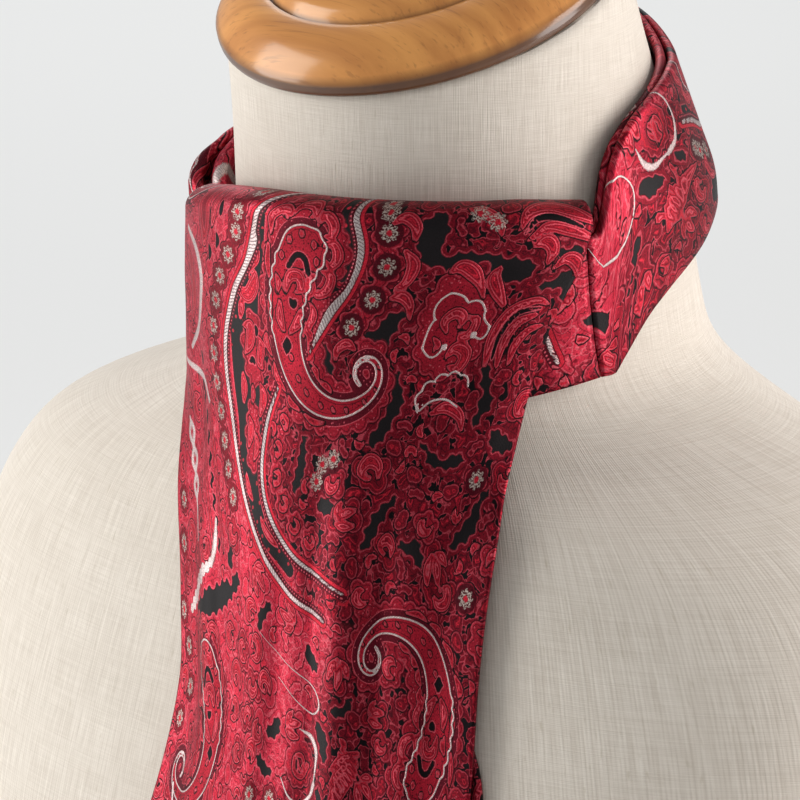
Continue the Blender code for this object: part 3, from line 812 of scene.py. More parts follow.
add_scalloped("petal", 3.2, 1.7, (*(SPIRAL - (0.5, 0)), 6.2), (*(SPIRAL + (0.5, 0)), 6.2))
add_strokes("leaf", [(*around(SPIRAL, 4.4 - 0.46 * step, 70 * step), 1.0 - 0.06 * step) for step in range(9)])
add_scrolls(
    ((10.5, 172.0, 0.2), (15.0, 176.5, 0.35), (21.0, 177.6, 0.4), (26.6, 174.6, 0.65), (28.2, 171.0, 0.9)),
    ((28.2, 171.0, 0.3), (28.6, 165.6, 0.5), (28.4, 161.0, 0.9), (25.0, 157.6, 0.8), (19.0, 156.0, 0.2)),
    ((6.0, 143.0, 0.10), (18.0, 148.8, 0.16), (25.0, 150.6, 0.26), (28.6, 147.4, 0.45), (24.4, 142.6, 0.20),
     (9.0, 137.4, 0.12), (-4.0, 131.0, 0.10)),
)
add_hole((27.0, 153.0, 1.6), (31.5, 157.0, 2.6), (33.5, 163.0, 2.0), spacing=3.8, lobe=1.6)
add_hole((31.0, 172.0, 1.4), (33.0, 177.0, 1.8), spacing=3.8, lobe=1.5)
add_strokes("leaf", *[
    ((47.0, 159.0 + 1.6 * number, 0.6), (41.0 - 0.35 * number, 161.0 + 3.4 * number, 1.6),
     (36.0 + 0.4 * number, 165.0 + 4.6 * number, 0.6))
    for number in range(5)
])

# The left edge: long almonds, wavy silver lines and a chain of loops run down the cloth, to a feathered
# silver stroke and a red flower.
add_scrolls(
    ((-54, 16, 1.0), (-45, 22, 1.4), (-41.4, 30, 1.4), (-43.6, 37, 1.3), (-48.6, 45, 1.3), (-58, 53, 0.9)),
    ((-73, 57.6, 0.8), (-51, 62, 1.2), (-45, 68.4, 0.9)),
    ((-70, 2, 0.6), (-66, 12, 0.6), (-68, 24, 0.6), (-74, 34, 0.6)),
    ((-59.8, 100.4, 0.8), (-58.2, 105, 0.7), (-57.4, 111, 0.4)),
    ((-43.5, 116, 1.1), (-40.6, 110, 1.5), (-39.6, 104, 0.8)),
)
for across, along in ((-68.8, 77.5), (-65.8, 85.1), (-62.8, 92.7)):
    top, foot = (across, along, 0.8), (across + 2.8, along + 7.4, 0.8)
    add_scrolls((top, (across + 3.8, along + 2.8, 1.1), foot), (top, (across - 1.0, along + 4.4, 1.1), foot))
add_strokes(
    "leaf",
    ((-37.4, -3, 3.2), (-36.8, 5, 4.3), (-36.4, 13, 3.8), (-37.0, 20, 1.4)),
    ((-29.6, 2.0, 0.6), (-28.4, 6.4, 1.5), (-29.6, 10.8, 1.5), (-31.0, 15.0, 0.5)),
    ((-57, 22, 0.8), (-52.4, 28, 2.6), (-52.0, 36, 2.4), (-56, 44, 0.8)),
    ((-55.6, 62, 0.4), (-52.4, 77, 1.0), (-48.5, 90, 1.1), (-44.5, 102, 1.0), (-42.2, 112, 0.4)),
    ((-46.2, 62, 0.4), (-43.0, 77, 1.0), (-39.1, 90, 1.1), (-35.1, 102, 1.0), (-32.8, 112, 0.4)),
)
SLIT = ((0, -2.2, 0.5), (0.6, 0, 1.1), (-0.4, 2.2, 0.5))
WAVE = ((0, 0, 0.3), (2.0, 1.3, 0.8), (0.4, 3.2, 0.7), (1.8, 4.6, 0.3))
BRACKET = ((-35.6, 24, 0.6), (-38.2, 25.8, 1.6), (-36.6, 28.8, 0.7))
for place in ((-25.4, 9), (-28.2, 19), (-33.4, 23), (-48.7, 56.5), (-51.5, 64.4)):
    add_strokes("dark", SLIT, at=(*place, 0, 1, 1))
for number in range(8):
    add_strokes("dark", WAVE, at=(-51.5 + 1.9 * number, 66 + 6.0 * number, 0, 1, 1))
    add_strokes("leaf", BRACKET, at=(0, 6.4 * number, 0, 1, 1))
add_scalloped("silver", 3.5, 1.4, (-71, 134, 0.5), (-61, 127.2, 1.6), (-52, 120.6, 1.3), (-44.5, 116.4, 0.7))
add_hole((-60, 132, 2.0), (-47, 128, 4.0), (-34, 124.5, 4.6), (-21, 118, 2.4), spacing=5.0, lobe=1.8)
PETAL = ((1.6, 0.9), (4.4, 2.3), (6.8, 1.0))
for degrees in range(20, 380, 72):
    add_strokes("leaf", [(*around((-50, 143), reach, degrees), wide) for reach, wide in PETAL])


# What is still bare is filled with curls, medallions, sprigs and small breaks in the red, each put down
# at an uneven spacing where nothing else lies.
scatter = np.random.default_rng(12)
FIRST_ACROSS, FILLED_WIDTH = -90, 190
FLOWER_REACH = 2.5


def bare_places(spacing, room):
    """Places in one repeat, unevenly spaced, that lie at least this far from every motif so far."""
    rows, columns = int(REPEAT / spacing), int(FILLED_WIDTH / spacing)
    grid = np.array([
        (FIRST_ACROSS + (column + 0.5 * (row % 2)) * spacing, (row + 0.5) * REPEAT / rows)
        for row in range(rows) for column in range(columns)
    ])
    grid += scatter.uniform(-0.22, 0.22, grid.shape) * spacing
    found = measure(grid)
    cloud, halo, boteh = found["grounds"].T
    nearest = [-cloud, halo, boteh, *found["figures"].T, found["petals"][:, 0], found["rope"][:, 2]]
    nearest += [found["scroll"][:, 2], found["flower"][:, 2] - FLOWER_REACH]
    return grid[np.min(nearest, axis=0) > room]


COMMA = ((-2.6, 1.6, 0.5), (-2.0, -1.2, 1.3), (0.8, -2.4, 1.8), (2.8, -0.2, 1.3), (1.6, 1.6, 0.5))
SPRIG = (
    ((0, 3.2, 0.5), (-1.8, 0.8, 1.3), (-3.0, -2.2, 0.6)),
    ((0.6, 2.6, 0.4), (0.8, -0.8, 1.3), (0.2, -3.8, 0.6)),
    ((1.2, 3.0, 0.4), (2.8, 1.4, 1.1), (3.8, -1.0, 0.5)),
)
for number, place in enumerate(bare_places(10.5, 4.0)):
    at = (*place, scatter.uniform(0, 360), scatter.uniform(0.95, 1.3), 1 - 2 * (number % 2))
    kind = number % 8
    if kind in (0, 4):
        add_scalloped("halo", 3.8, 1.9, (-0.8, 0, 3.2), (0.8, 0, 3.2), at=at)
        add_strokes("leaf", COMMA, at=(*at[:3], 0.8 * at[3], at[4]))
    elif kind in (1, 5, 7):
        add_scalloped("petal", 4.2, 2.2, (-1.2, 0.4, 3.6), (1.2, -0.4, 3.0), at=at)
        add_strokes("leaf", COMMA, at=at)
        add_dot("leaf", 0.3, 1.6, 0.8, at=at)
    elif kind == 2:
        add_hole((-3.0, 0, 1.8), (0.4, 0.8, 2.6), (3.2, -0.4, 1.6), at=at, spacing=4.0, lobe=1.7)
    elif kind == 3:
        add_scalloped("petal", 4.4, 2.2, (0, -1.6, 3.0), (0, 1.6, 3.0), at=at)
        add_strokes("leaf", *SPRIG, at=at)
    else:
        flowers.append(place)
        add_scalloped("halo", 3.4, 1.7, (-0.6, 0, 3.2), (0.6, 0, 3.2), at=(*at[:3], 1.0, 1))
for number, place in enumerate(bare_places(6.2, 1.9)):
    at = (*place, scatter.uniform(0, 360), 1, 1 - 2 * (number % 2))
    kind = number % 4
    if kind == 0:
        add_strokes("leaf", ((-1.9, 0.8, 0.4), (0, -0.4, 1.1), (1.9, 0.9, 0.4)), at=at)
    elif kind == 1:
        add_scalloped("petal", 3.0, 1.5, (-1.4, 0.6, 0.8), (0.2, -0.3, 1.2), (1.6, 0.5, 0.7), at=at)
    elif kind == 2:
        hook = ((-2.0, -0.6, 0.4), (-0.8, 1.0, 0.9), (1.0, 1.2, 1.0), (1.8, -0.4, 0.7), (0.8, -0.8, 0.3))
        add_strokes("leaf", hook, at=at)
    else:
        for tip in (-1.9, 0.0, 1.9):
            add_dot("petal", tip, 0.7 - abs(tip) / 3, 1.2, at=at)


# The cloth's colours: dark warp satin, crimson, maroon and bright red wefts, and a pale silver one. They
# are laid one over another, from the ground up to the finest lines.
GROUND = (0.0055, 0.0035, 0.0045)
MAROON = (0.062, 0.002, 0.007)
CRIMSON = (0.150, 0.004, 0.012)
DEEP_RED = (0.215, 0.007, 0.018)
HALO_RED = (0.255, 0.008, 0.020)
BOTEH_RED = (0.300, 0.009, 0.022)
BRIGHT = (0.400, 0.013, 0.028)
RED = (0.400, 0.020, 0.042)
ROSE = (0.470, 0.070, 0.095)
SILVER = (0.560, 0.445, 0.440)
DULL_SILVER = (0.400, 0.340, 0.335)
PEARL = (0.330, 0.275, 0.260)
PETAL_SILVER = (0.330, 0.270, 0.240)
GREY = (0.130, 0.085, 0.090)
silk = new_material("red silk jacquard")
cloth = SimpleNamespace(colour=GROUND)


def field(name):
    """The three numbers that the mesh keeps under this name."""
    read = silk.node("Attribute", attribute_name=name, attribute_type="GEOMETRY")
    return silk.node("SeparateXYZ", Vector=read.outputs["Vector"]).outputs


def inside(distance, edge=0.0, soft=0.12):
    """1 where the distance is below the edge, 0 above it."""
    return silk.between(distance, edge + soft, edge - soft, interpolation_type="SMOOTHSTEP")


def outside(share):
    return silk.calc("SUBTRACT", 1.0, share)


def magnitude(value):
    return silk.calc("ABSOLUTE", value)


def line(distance, at, half_width, soft=0.12):
    """1 on a line that runs at this distance from a motif's edge."""
    return inside(magnitude(silk.calc("SUBTRACT", distance, at)), half_width, soft)


def chained(operation, shares):
    met = shares[0]
    for share in shares[1:]:
        met = silk.calc(operation, met, share)
    return met


def both(*shares):
    return chained("MULTIPLY", shares)


def most(*shares):
    return chained("MAXIMUM", shares)


def dye(colour, *shares):
    """Lays a colour over those so far, where all the shares meet."""
    cloth.colour = silk.blend(both(*shares), cloth.colour, colour)


def repeated(value, pitch):
    """The value's place within a repeat, from minus a half to a half of the pitch."""
    share = silk.calc("FRACT", silk.calc("DIVIDE", value, pitch))
    return silk.calc("MULTIPLY", silk.calc("SUBTRACT", share, 0.5), pitch)


def round_dot(across, along, radius):
    offset = silk.node("CombineXYZ", X=across, Y=along).outputs[0]
    away = silk.node("VectorMath", operation="LENGTH", Vector=offset).outputs["Value"]
    return inside(away, radius)


cut_across, cut_along, right_of_rope = field("cut")
cloud, halo, boteh = field("grounds")
leaf, dark, silver = field("figures")
petal, _, _ = field("petals")
rope_along, rope_aside, rope_past = field("rope")
_, scroll_aside, scroll_past = field("scroll")
flower_across, flower_along, flower_out = field("flower")
cut_place = silk.node("CombineXYZ", X=cut_across, Y=cut_along).outputs[0]
fine = silk.noise(cut_place, 1.9, 2.0)
broad = silk.noise(cut_place, 0.11, 2.0)
gaps = silk.noise(cut_place, 0.33, 1.0)

# The red ground, full of curls drawn round uneven cells, with breaks between them. It is bright beside the
# left
# rope and deeper away from it: partly the weave's own tone, partly painted light on the side the window
# lights.
CURLS_PER_MM = 0.155
CURL_BEND = 11.0
wander = silk.node("TexNoise", Vector=cut_place, Scale=0.16, Detail=1.0)
bent = silk.node("VectorMath", operation="MULTIPLY_ADD")
for socket, value in zip(bent.inputs, (wander.outputs["Color"], (CURL_BEND,) * 3, cut_place)):
    silk.put(socket, value)
curls = silk.node("TexVoronoi", feature="DISTANCE_TO_EDGE", Vector=bent.outputs[0], Scale=CURLS_PER_MM)
curl_edge = silk.calc("DIVIDE", curls.outputs["Distance"], CURLS_PER_MM)
off_gap = silk.calc("SUBTRACT", curl_edge, silk.between(gaps, 0.46, 0.66, -0.30, 0.85))
specks = silk.node("TexVoronoi", feature="F1", Vector=cut_place, Scale=0.95)
speck = inside(specks.outputs["Distance"], 0.24, 0.10)
# Painted light, partly: the ground and its lines are lighter and redder left of the left rope, the side the
# window lights.
bright_tone_and_painted_light = silk.between(right_of_rope, 18.0, 2.0, interpolation_type="SMOOTHSTEP")
base = silk.blend(bright_tone_and_painted_light, CRIMSON, RED)
shadow = silk.blend(bright_tone_and_painted_light, MAROON, CRIMSON)
edging = silk.blend(bright_tone_and_painted_light, (0.330, 0.038, 0.056), ROSE)
few_breaks = silk.calc("MULTIPLY_ADD", bright_tone_and_painted_light, -0.85, 1.0)
red_ground = inside(cloud)
deep_red = inside(cloud, -1.2)
dye(base, red_ground)
dye(shadow, deep_red, speck, inside(curl_edge, 5.0))
for depth, colour in ((1.35, shadow), (2.15, BRIGHT), (2.90, shadow)):
    dye(colour, deep_red, line(curl_edge, depth, 0.15, 0.14))
dye(edging, deep_red, line(off_gap, 0.34, 0.16))
dye(GROUND, deep_red, few_breaks, inside(off_gap, 0.12))
dye(shadow, line(cloud, -1.30, 0.10))
dye(edging, line(cloud, -0.30, 0.15))

# Petals: scalloped red shapes, with a dark or black line round each and two more within.
on_cloud = inside(cloud, -0.6)
in_petal = both(inside(petal), on_cloud)
here_and_there = silk.between(gaps, 0.50, 0.58)
dye(silk.blend(here_and_there, shadow, GROUND), line(petal, 0.28, 0.20), on_cloud)
dye(base, in_petal)
dye(shadow, in_petal, speck)
for depth, colour in ((-0.18, edging), (-1.20, BRIGHT), (-2.30, shadow)):
    dye(colour, line(petal, depth, 0.12), on_cloud)

# The halo: red with a dark ring round its boteh and a row of dots inside its edge.
in_halo = inside(halo)
dye(silk.blend(here_and_there, MAROON, GROUND), line(halo, 0.22, 0.20))
dye(HALO_RED, in_halo)
dye(ROSE, in_halo, speck, line(halo, -1.6, 0.8))
dye(MAROON, in_halo, speck, inside(halo, -2.6))
dye(edging, line(halo, -0.26, 0.13))
dye(MAROON, line(halo, -0.90, 0.10))
dye(shadow, in_halo, inside(flower_out, 4.3, 0.3))
dye((0.088, 0.003, 0.010), in_halo, line(boteh, 1.35, 0.85, 0.2))
dye(ROSE, in_halo, speck, line(boteh, 1.45, 0.35))
dye(ROSE, line(boteh, 2.35, 0.10))

# The boteh, the leaves with their ribs, and the dark cuts.
in_boteh = inside(boteh)
in_leaf = inside(leaf)
dye(BOTEH_RED, in_boteh)
dye(MAROON, in_boteh, speck, inside(boteh, -1.2))
dye(MAROON, line(boteh, -1.15, 0.10))
dye(GROUND, inside(leaf, 0.34))
dye(BRIGHT, in_leaf)
dye(DEEP_RED, inside(leaf, -2.45))
for depth, colour in ((-0.60, CRIMSON), (-0.95, ROSE), (-1.30, CRIMSON), (-1.85, CRIMSON), (-2.45, ROSE)):
    dye(colour, line(leaf, depth, 0.11, 0.11))
dye(edging, line(leaf, -0.16, 0.13, 0.10))
dye(ROSE, line(dark, 0.24, 0.12))
dye(GROUND, inside(dark))

# Silver lines: stitches of pale thread that slant across the line and leave its edges a little ragged.
ragged = silk.calc("MULTIPLY_ADD", fine, 1.3, -0.65)
scroll = both(inside(silk.calc("ADD", magnitude(scroll_aside), ragged), 0.95, 0.30), inside(scroll_past, 0.7))
boteh_edge = silk.calc("MULTIPLY_ADD", ragged, 0.30, magnitude(boteh))
silver_line = most(inside(silver), scroll, inside(boteh_edge, 0.26))
strand = repeated(silk.calc("MULTIPLY_ADD", cut_across, 0.75, cut_along), 0.68)
dye(MAROON, line(boteh, 0.52, 0.14))
dye(SILVER, silver_line)
dye(PEARL, silver_line, line(strand, 0.0, 0.11))

# Beside each rope: a row of dots on one side, a pair of stripes on the other. On it: slanted stitches.
stripes_side = inside(rope_aside, 0.0, 0.05)
dots_side = outside(stripes_side)
off_halo = outside(in_halo)
dot = round_dot(silk.calc("SUBTRACT", rope_past, 0.95), repeated(rope_along, 1.25), 0.27)
bead = round_dot(silk.calc("SUBTRACT", rope_past, 2.6), repeated(rope_along, 5.2), 0.55)
dye(MAROON, dots_side, inside(rope_past, 1.6), off_halo)
dye(ROSE, dots_side, dot)
dye(BRIGHT, dots_side, bead, off_halo)
dye(BRIGHT, stripes_side, inside(rope_past, 1.5))
dye(MAROON, stripes_side, line(rope_past, 1.5, 0.12))
stitch = repeated(silk.calc("MULTIPLY_ADD", rope_aside, 0.7, rope_along), 1.15)
on_rope = inside(silk.calc("MULTIPLY_ADD", magnitude(stitch), 0.30, rope_past), 0.10)
dye(MAROON, line(rope_past, 0.20, 0.16))
# Painted light, partly: the ropes' silver is duller away from the bright side.
dye(silk.blend(bright_tone_and_painted_light, DULL_SILVER, SILVER), on_rope)
dye(GREY, on_rope, line(stitch, 0.0, 0.16, 0.16))

# Small silver flowers: eight loose petals round a red eye, in broken stitches.
petal_turn = silk.calc("ARCTAN2", flower_along, flower_across)
petal_shape = magnitude(silk.calc("COSINE", silk.calc("MULTIPLY", petal_turn, 4.0)))
petal_reach = silk.calc("MULTIPLY_ADD", petal_shape, 0.9, 2.0)
in_flower = inside(silk.calc("SUBTRACT", flower_out, petal_reach), 0.0, 0.25)
dye(PETAL_SILVER, in_flower, silk.between(fine, 0.42, 0.56))
dye(BRIGHT, inside(flower_out, 1.05, 0.20))

# Threads: close satin ribs across the strip, a little uneven, and loose fibres that catch the light.
RIB_PITCH = 0.42
slanted = silk.calc("ADD", cut_along, silk.calc("MULTIPLY", cut_across, 0.5))
rib = silk.calc("SINE", silk.calc("MULTIPLY", slanted, 2 * pi / RIB_PITCH))
thread = silk.calc("MULTIPLY_ADD", rib, 0.10, fine)
shade = both(silk.between(thread, 0.30, 0.72, 0.62, 1.42), silk.between(broad, 0.35, 0.65, 0.86, 1.14))
shaded = silk.node("VectorMath", operation="SCALE")
silk.put(shaded.inputs[0], cloth.colour)
silk.put(shaded.inputs["Scale"], shade)
raised = silk.total(
    (red_ground, 0.35), (in_leaf, 0.45), (inside(leaf, -0.9, 0.4), 0.25), (most(silver_line, on_rope), 0.5),
    (inside(halo, -0.5, 0.5), 0.25), (thread, 0.14),
)
is_red = most(red_ground, in_halo, in_leaf, on_rope)
relief = silk.node("Bump", Strength=0.8, Distance=0.0004, Height=raised).outputs[0]
silk.finish(
    Base_Color=shaded.outputs[0], Metallic=silk.between(is_red, 0.0, 1.0, 0.15, 0.65), Roughness=0.50,
    Specular_IOR_Level=0.16, Normal=relief,
)


def add_silk(name, columns, rows, place):
    """A stretch of the strip: a grid of columns by rows points, put where place says, with a wall."""
    shape = bmesh.new()
    bmesh.ops.create_grid(shape, x_segments=columns - 1, y_segments=rows - 1, size=0.5)
    mesh = mesh_of(shape, name)
    grid = np.empty(3 * len(mesh.vertices))
    mesh.vertices.foreach_get("co", grid)
    grid = grid.reshape(-1, 3) + 0.5
    column = np.rint(grid[:, 0] * (columns - 1)).astype(int)
    row = np.rint(grid[:, 1] * (rows - 1)).astype(int)
    points, cut = place(column, row)
    mesh.vertices.foreach_set("co", points.ravel())
    weave_pattern(mesh, cut)
    mesh.shade_smooth()
    mesh.materials.append(silk.material)
    stretch = add_object(mesh, name)
    wall = stretch.modifiers.new("wall", "SOLIDIFY")
    wall.thickness = SILK_WALL
    wall.offset = 0
    wall.use_quality_normals = True
    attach(stretch, "root")
    return stretch


# The neckband and the two stretches that lead from it to the throat: the strip folded lengthwise into
# a W, with the outer pleat opening and closing on its way round.
BAND = table(
    "turn height  out     depth   pitch   groove  inner   lean    step",
    (68, 0.5760, 0.0034, 0.0420, 0.0018, 0.0180, 0.0410, 0.0000, 0.0003),
    (71, 0.5766, 0.0034, 0.0425, 0.0018, 0.0180, 0.0415, 0.0000, 0.0003),
    (74, 0.5832, 0.0034, 0.0450, 0.0018, 0.0190, 0.0440, 0.0003, 0.0003),
    (77, 0.5905, 0.0033, 0.0480, 0.0018, 0.0200, 0.0470, 0.0004, 0.0003),
    (81, 0.5978, 0.0030, 0.0500, 0.0018, 0.0200, 0.0490, 0.0006, -0.0006),
    (86, 0.6032, 0.0026, 0.0505, 0.0018, 0.0200, 0.0495, 0.0008, -0.0012),
    (93, 0.6075, 0.0020, 0.0500, 0.0018, 0.0200, 0.0490, 0.0010, -0.0018),
    (105, 0.6125, 0.0017, 0.0490, 0.0018, 0.0200, 0.0480, 0.0012, -0.0016),
    (118, 0.6165, 0.0017, 0.0470, 0.0018, 0.0200, 0.0460, 0.0012, -0.0008),
    (131, 0.6195, 0.0017, 0.0460, 0.0018, 0.0200, 0.0450, 0.0012, 0.0010),
    (161, 0.6305, 0.0017, 0.0460, 0.0018, 0.0200, 0.0450, 0.0008, 0.0026),
    (180, 0.6340, 0.0017, 0.0460, 0.0018, 0.0200, 0.0450, 0.0008, 0.0026),
    (200, 0.6300, 0.0017, 0.0460, 0.0018, 0.0200, 0.0450, 0.0008, 0.0024),
    (231, 0.6130, 0.0017, 0.0460, 0.0019, 0.0200, 0.0450, 0.0010, 0.0012),
    (256, 0.5965, 0.0026, 0.0450, 0.0021, 0.0190, 0.0440, 0.0010, 0.0006),
    (272, 0.5885, 0.0060, 0.0440, 0.0022, 0.0180, 0.0430, 0.0004, 0.0004),
    (284, 0.5825, 0.0095, 0.0420, 0.0024, 0.0180, 0.0410, 0.0000, 0.0003),
    (289, 0.5790, 0.0094, 0.0405, 0.0037, 0.0180, 0.0395, 0.0000, 0.0012),
    (294, 0.5745, 0.0082, 0.0390, 0.0040, 0.0170, 0.0380, 0.0000, 0.0016),
    (300, 0.5665, 0.0036, 0.0380, 0.0021, 0.0160, 0.0370, 0.0000, 0.0003),
)
LEFT = table(
    "turn height  out     depth   pitch   groove  inner   lean step",
    (-6, 0.5600, 0.0033, 0.0400, 0.0018, 0.0070, 0.0360, 0, 0.0003),
    (20, 0.5650, 0.0033, 0.0410, 0.0018, 0.0100, 0.0400, 0, 0.0003),
    (45, 0.5710, 0.0034, 0.0420, 0.0018, 0.0150, 0.0410, 0, 0.0003),
    (68, 0.5760, 0.0034, 0.0420, 0.0018, 0.0180, 0.0410, 0, 0.0003),
)
RIGHT = table(
    "turn height  out     depth   pitch   groove  inner   lean step",
    (-60, 0.5665, 0.0036, 0.0380, 0.0021, 0.0160, 0.0370, 0, 0.0003),
    (-46, 0.5690, 0.0040, 0.0370, 0.0020, 0.0120, 0.0250, 0, 0.0003),
    (-28, 0.5760, 0.0046, 0.0400, 0.0019, 0.0070, 0.0080, 0, 0.0003),
    (-8, 0.5810, 0.0050, 0.0430, 0.0019, 0.0050, 0.0055, 0, 0.0003),
    (22, 0.5815, 0.0050, 0.0430, 0.0019, 0.0050, 0.0055, 0, 0.0003),
    (40, 0.5800, 0.0050, 0.0430, 0.0019, 0.0050, 0.0055, 0, 0.0003),
)
LEG_PARTS, SHORT_PARTS, OUTER_PARTS, BEND_PARTS = 12, 8, 26, 6
LEAN_DEPTH = 0.026
HALF_CUT = 0.083
BAND_START, RIGHT_START = 0.425, 0.82      # the front middle's place along the cut, for these stretches
# Where the band stands off the neck a little: turn, drop, half widths in degrees and metres, height.
SWELLINGS = (
    (92, 0.030, 6, 0.012, 0.0009), (108, 0.014, 7, 0.009, 0.0006), (128, 0.034, 9, 0.010, 0.0008),
    (152, 0.018, 8, 0.012, 0.0007), (176, 0.032, 10, 0.010, 0.0009), (201, 0.014, 7, 0.010, 0.0006),
    (222, 0.034, 9, 0.011, 0.0008), (245, 0.020, 7, 0.010, 0.0007), (266, 0.032, 6, 0.010, 0.0006),
)


def pleat_line(size):
    """The folded section, in step with its sizes: (out, drop) of each point across the strip."""
    turn_radius = size.pitch / 2
    top = size.step + turn_radius
    legs = [
        (size.inner, turn_radius, LEG_PARTS),
        (turn_radius, size.groove, SHORT_PARTS),
        (size.groove, top, SHORT_PARTS),
    ]
    outs, drops = [], []
    for number, (start, end, parts) in enumerate(legs):
        bend = 1 if number == 1 else -1
        for part in range(parts + 1):
            outs.append(number * size.pitch)
            drops.append(mix(start, end, part / parts))
        for part in range(1, BEND_PARTS):
            angle = pi * part / BEND_PARTS
            outs.append((number + 0.5 - cos(angle) / 2) * size.pitch)
            drops.append(end + bend * turn_radius * sin(angle))
    for part in range(OUTER_PARTS + 1):
        drop = mix(top, size.depth, part / OUTER_PARTS)
        outs.append(3 * size.pitch + size.lean * ease(drop, 0, LEAN_DEPTH))
        drops.append(drop)
    return np.stack(outs), np.stack(drops)


def add_pleated(name, stretch, start, end, rows, along_cut):
    """A stretch of the pleated strip between two turns round the neck, over its own CAD node."""
    turns = np.linspace(start, end, rows)
    sizes = stretch(turns)
    outs, drops = pleat_line(sizes)
    run = np.hypot(np.diff(outs, axis=0), np.diff(drops, axis=0))
    run = np.vstack([np.zeros((1, rows)), np.cumsum(run, axis=0)])

    def place(column, row):
        turn, drop = turns[row], drops[column, row]
        out = sizes.out[row] + outs[column, row]
        for middle, fallen, wide, tall, height in SWELLINGS:
            out = out + height * np.exp(-(((turn - middle) / wide) ** 2) - ((drop - fallen) / tall) ** 2)
        points = off_form(np.radians(turn), sizes.height[row] - drop, out)
        along = along_cut + np.radians(turns[row]) * NECK_MILLIMETRES / 1000
        return points, np.column_stack([run[column, row] - HALF_CUT, along])

    piece = add_silk(name + "_silk", len(outs), rows, place)
    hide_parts(name)
    return piece


neckband_silk = add_pleated("neckband", BAND, 68.2, 299.6, 200, BAND_START)
left_silk = add_pleated("left_stretch", LEFT, -6, 67.8, 60, BAND_START)
right_silk = add_pleated("right_stretch", RIGHT, -59.6, 40, 80, RIGHT_START)


# The over-blade: the wide end of the strip. It comes up behind the crossing, rolls over it in a soft
# straight fold and falls down the chest to a point, gathered into lengthwise ridges where it narrows.
CREST = table(
    "turn height",
    (-62, 0.5735),
    (-44, 0.5785),
    (-23, 0.5850),
    (0, 0.5885),
    (34, 0.5895),
    (52, 0.5895),
    (66, 0.5880),
    (80, 0.5855),
)
OVER = table(
    "fall  radius side   front    right   left",
    (0.005, 0.0765, 0.0035, -0.0790, 0.0828, 0.0955),
    (0.015, 0.0765, 0.0035, -0.0792, 0.0815, 0.0925),
    (0.024, 0.0765, 0.0037, -0.0797, 0.0795, 0.0880),
    (0.035, 0.0750, 0.0048, -0.0812, 0.0760, 0.0828),
    (0.050, 0.0730, 0.0058, -0.0835, 0.0700, 0.0782),
    (0.070, 0.0690, 0.0077, -0.0880, 0.0610, 0.0745),
    (0.088, 0.0640, 0.0091, -0.0925, 0.0530, 0.0715),
    (0.128, 0.0620, 0.0145, -0.1000, 0.0460, 0.0660),
    (0.150, 0.0650, 0.0178, -0.1035, 0.0450, 0.0640),
    (0.175, 0.0750, 0.0184, -0.1070, 0.0470, 0.0640),
    (0.205, 0.1000, 0.0180, -0.1105, 0.0520, 0.0660),
    (0.235, 0.1400, 0.0180, -0.1135, 0.0590, 0.0690),
    (0.290, 0.2400, 0.0180, -0.1150, 0.0700, 0.0730),
    (0.335, 0.3000, 0.0180, -0.1140, 0.0730, 0.0730),
)
OVER_RIDGES, RIDGE_WIDTH = ((0.40, 0.0045), (0.70, 0.0040), (-0.62, 0.0020)), 0.17
GATHERING, OPENING_OUT = (0.05, 0.11), (0.17, 0.30)      # falls between which the ridges rise and ease off
CUT_RIGHT, CUT_LEFT = HALF_CUT, 0.0955      # the cut's reach to each side of the over-blade's middle
RETURN_OUT, RETURN_DEPTH = 0.0015, 0.028
RETURN_RIGHT, RETURN_LEFT = (-52, -34), (70, 58)      # turns of the return's edges, at its top and foot
FOLD_RISE = 0.005
OVER_LENGTH, OVER_STRAIGHT, OVER_SHOULDER = 0.335, 0.230, 0.272
OVER_CLEAR, CLEAR_RISE = (0.0050, 0.0124), (0.506, 0.5345)      # off the form: low and high, and where
CREASES_BEGIN, LEVELLING = (0.004, 0.016), (0.01, 0.12)         # falls between which these come in
# Soft creases from one (across, fall) place to another, with a half width and a height, in metres; a
# height below zero is a trough. They run down from the fold and gather where the blade narrows.
OVER_CREASES = (
    (-0.066, 0.008, -0.046, 0.090, 0.0060, 0.0011),
    (-0.052, 0.014, -0.030, 0.110, 0.0050, -0.0012),
    (-0.016, 0.012, -0.006, 0.070, 0.0080, -0.0009),
    (0.022, 0.010, 0.012, 0.060, 0.0070, 0.0008),
    (0.070, 0.006, 0.052, 0.060, 0.0060, -0.0013),
    (0.082, 0.012, 0.060, 0.085, 0.0050, 0.0010),
    (-0.024, 0.120, -0.018, 0.220, 0.0050, 0.0013),
    (0.006, 0.100, 0.000, 0.190, 0.0050, -0.0014),
    (0.030, 0.150, 0.034, 0.260, 0.0060, 0.0011),
    (-0.040, 0.170, -0.034, 0.270, 0.0050, -0.0010),
)


def creased(across, fall, creases):
    """How far the cloth stands up, at a place in metres, on its soft creases."""
    total = np.zeros(np.shape(across))
    for x0, y0, x1, y1, width, height in creases:
        dx, dy = x1 - x0, y1 - y0
        share = np.clip(((across - x0) * dx + (fall - y0) * dy) / (dx * dx + dy * dy), 0, 1)
        gap = np.hypot(across - x0 - share * dx, fall - y0 - share * dy)
        total += height * (0.35 + 0.65 * np.sin(pi * share)) * np.exp(-((gap / width) ** 2))
    return total


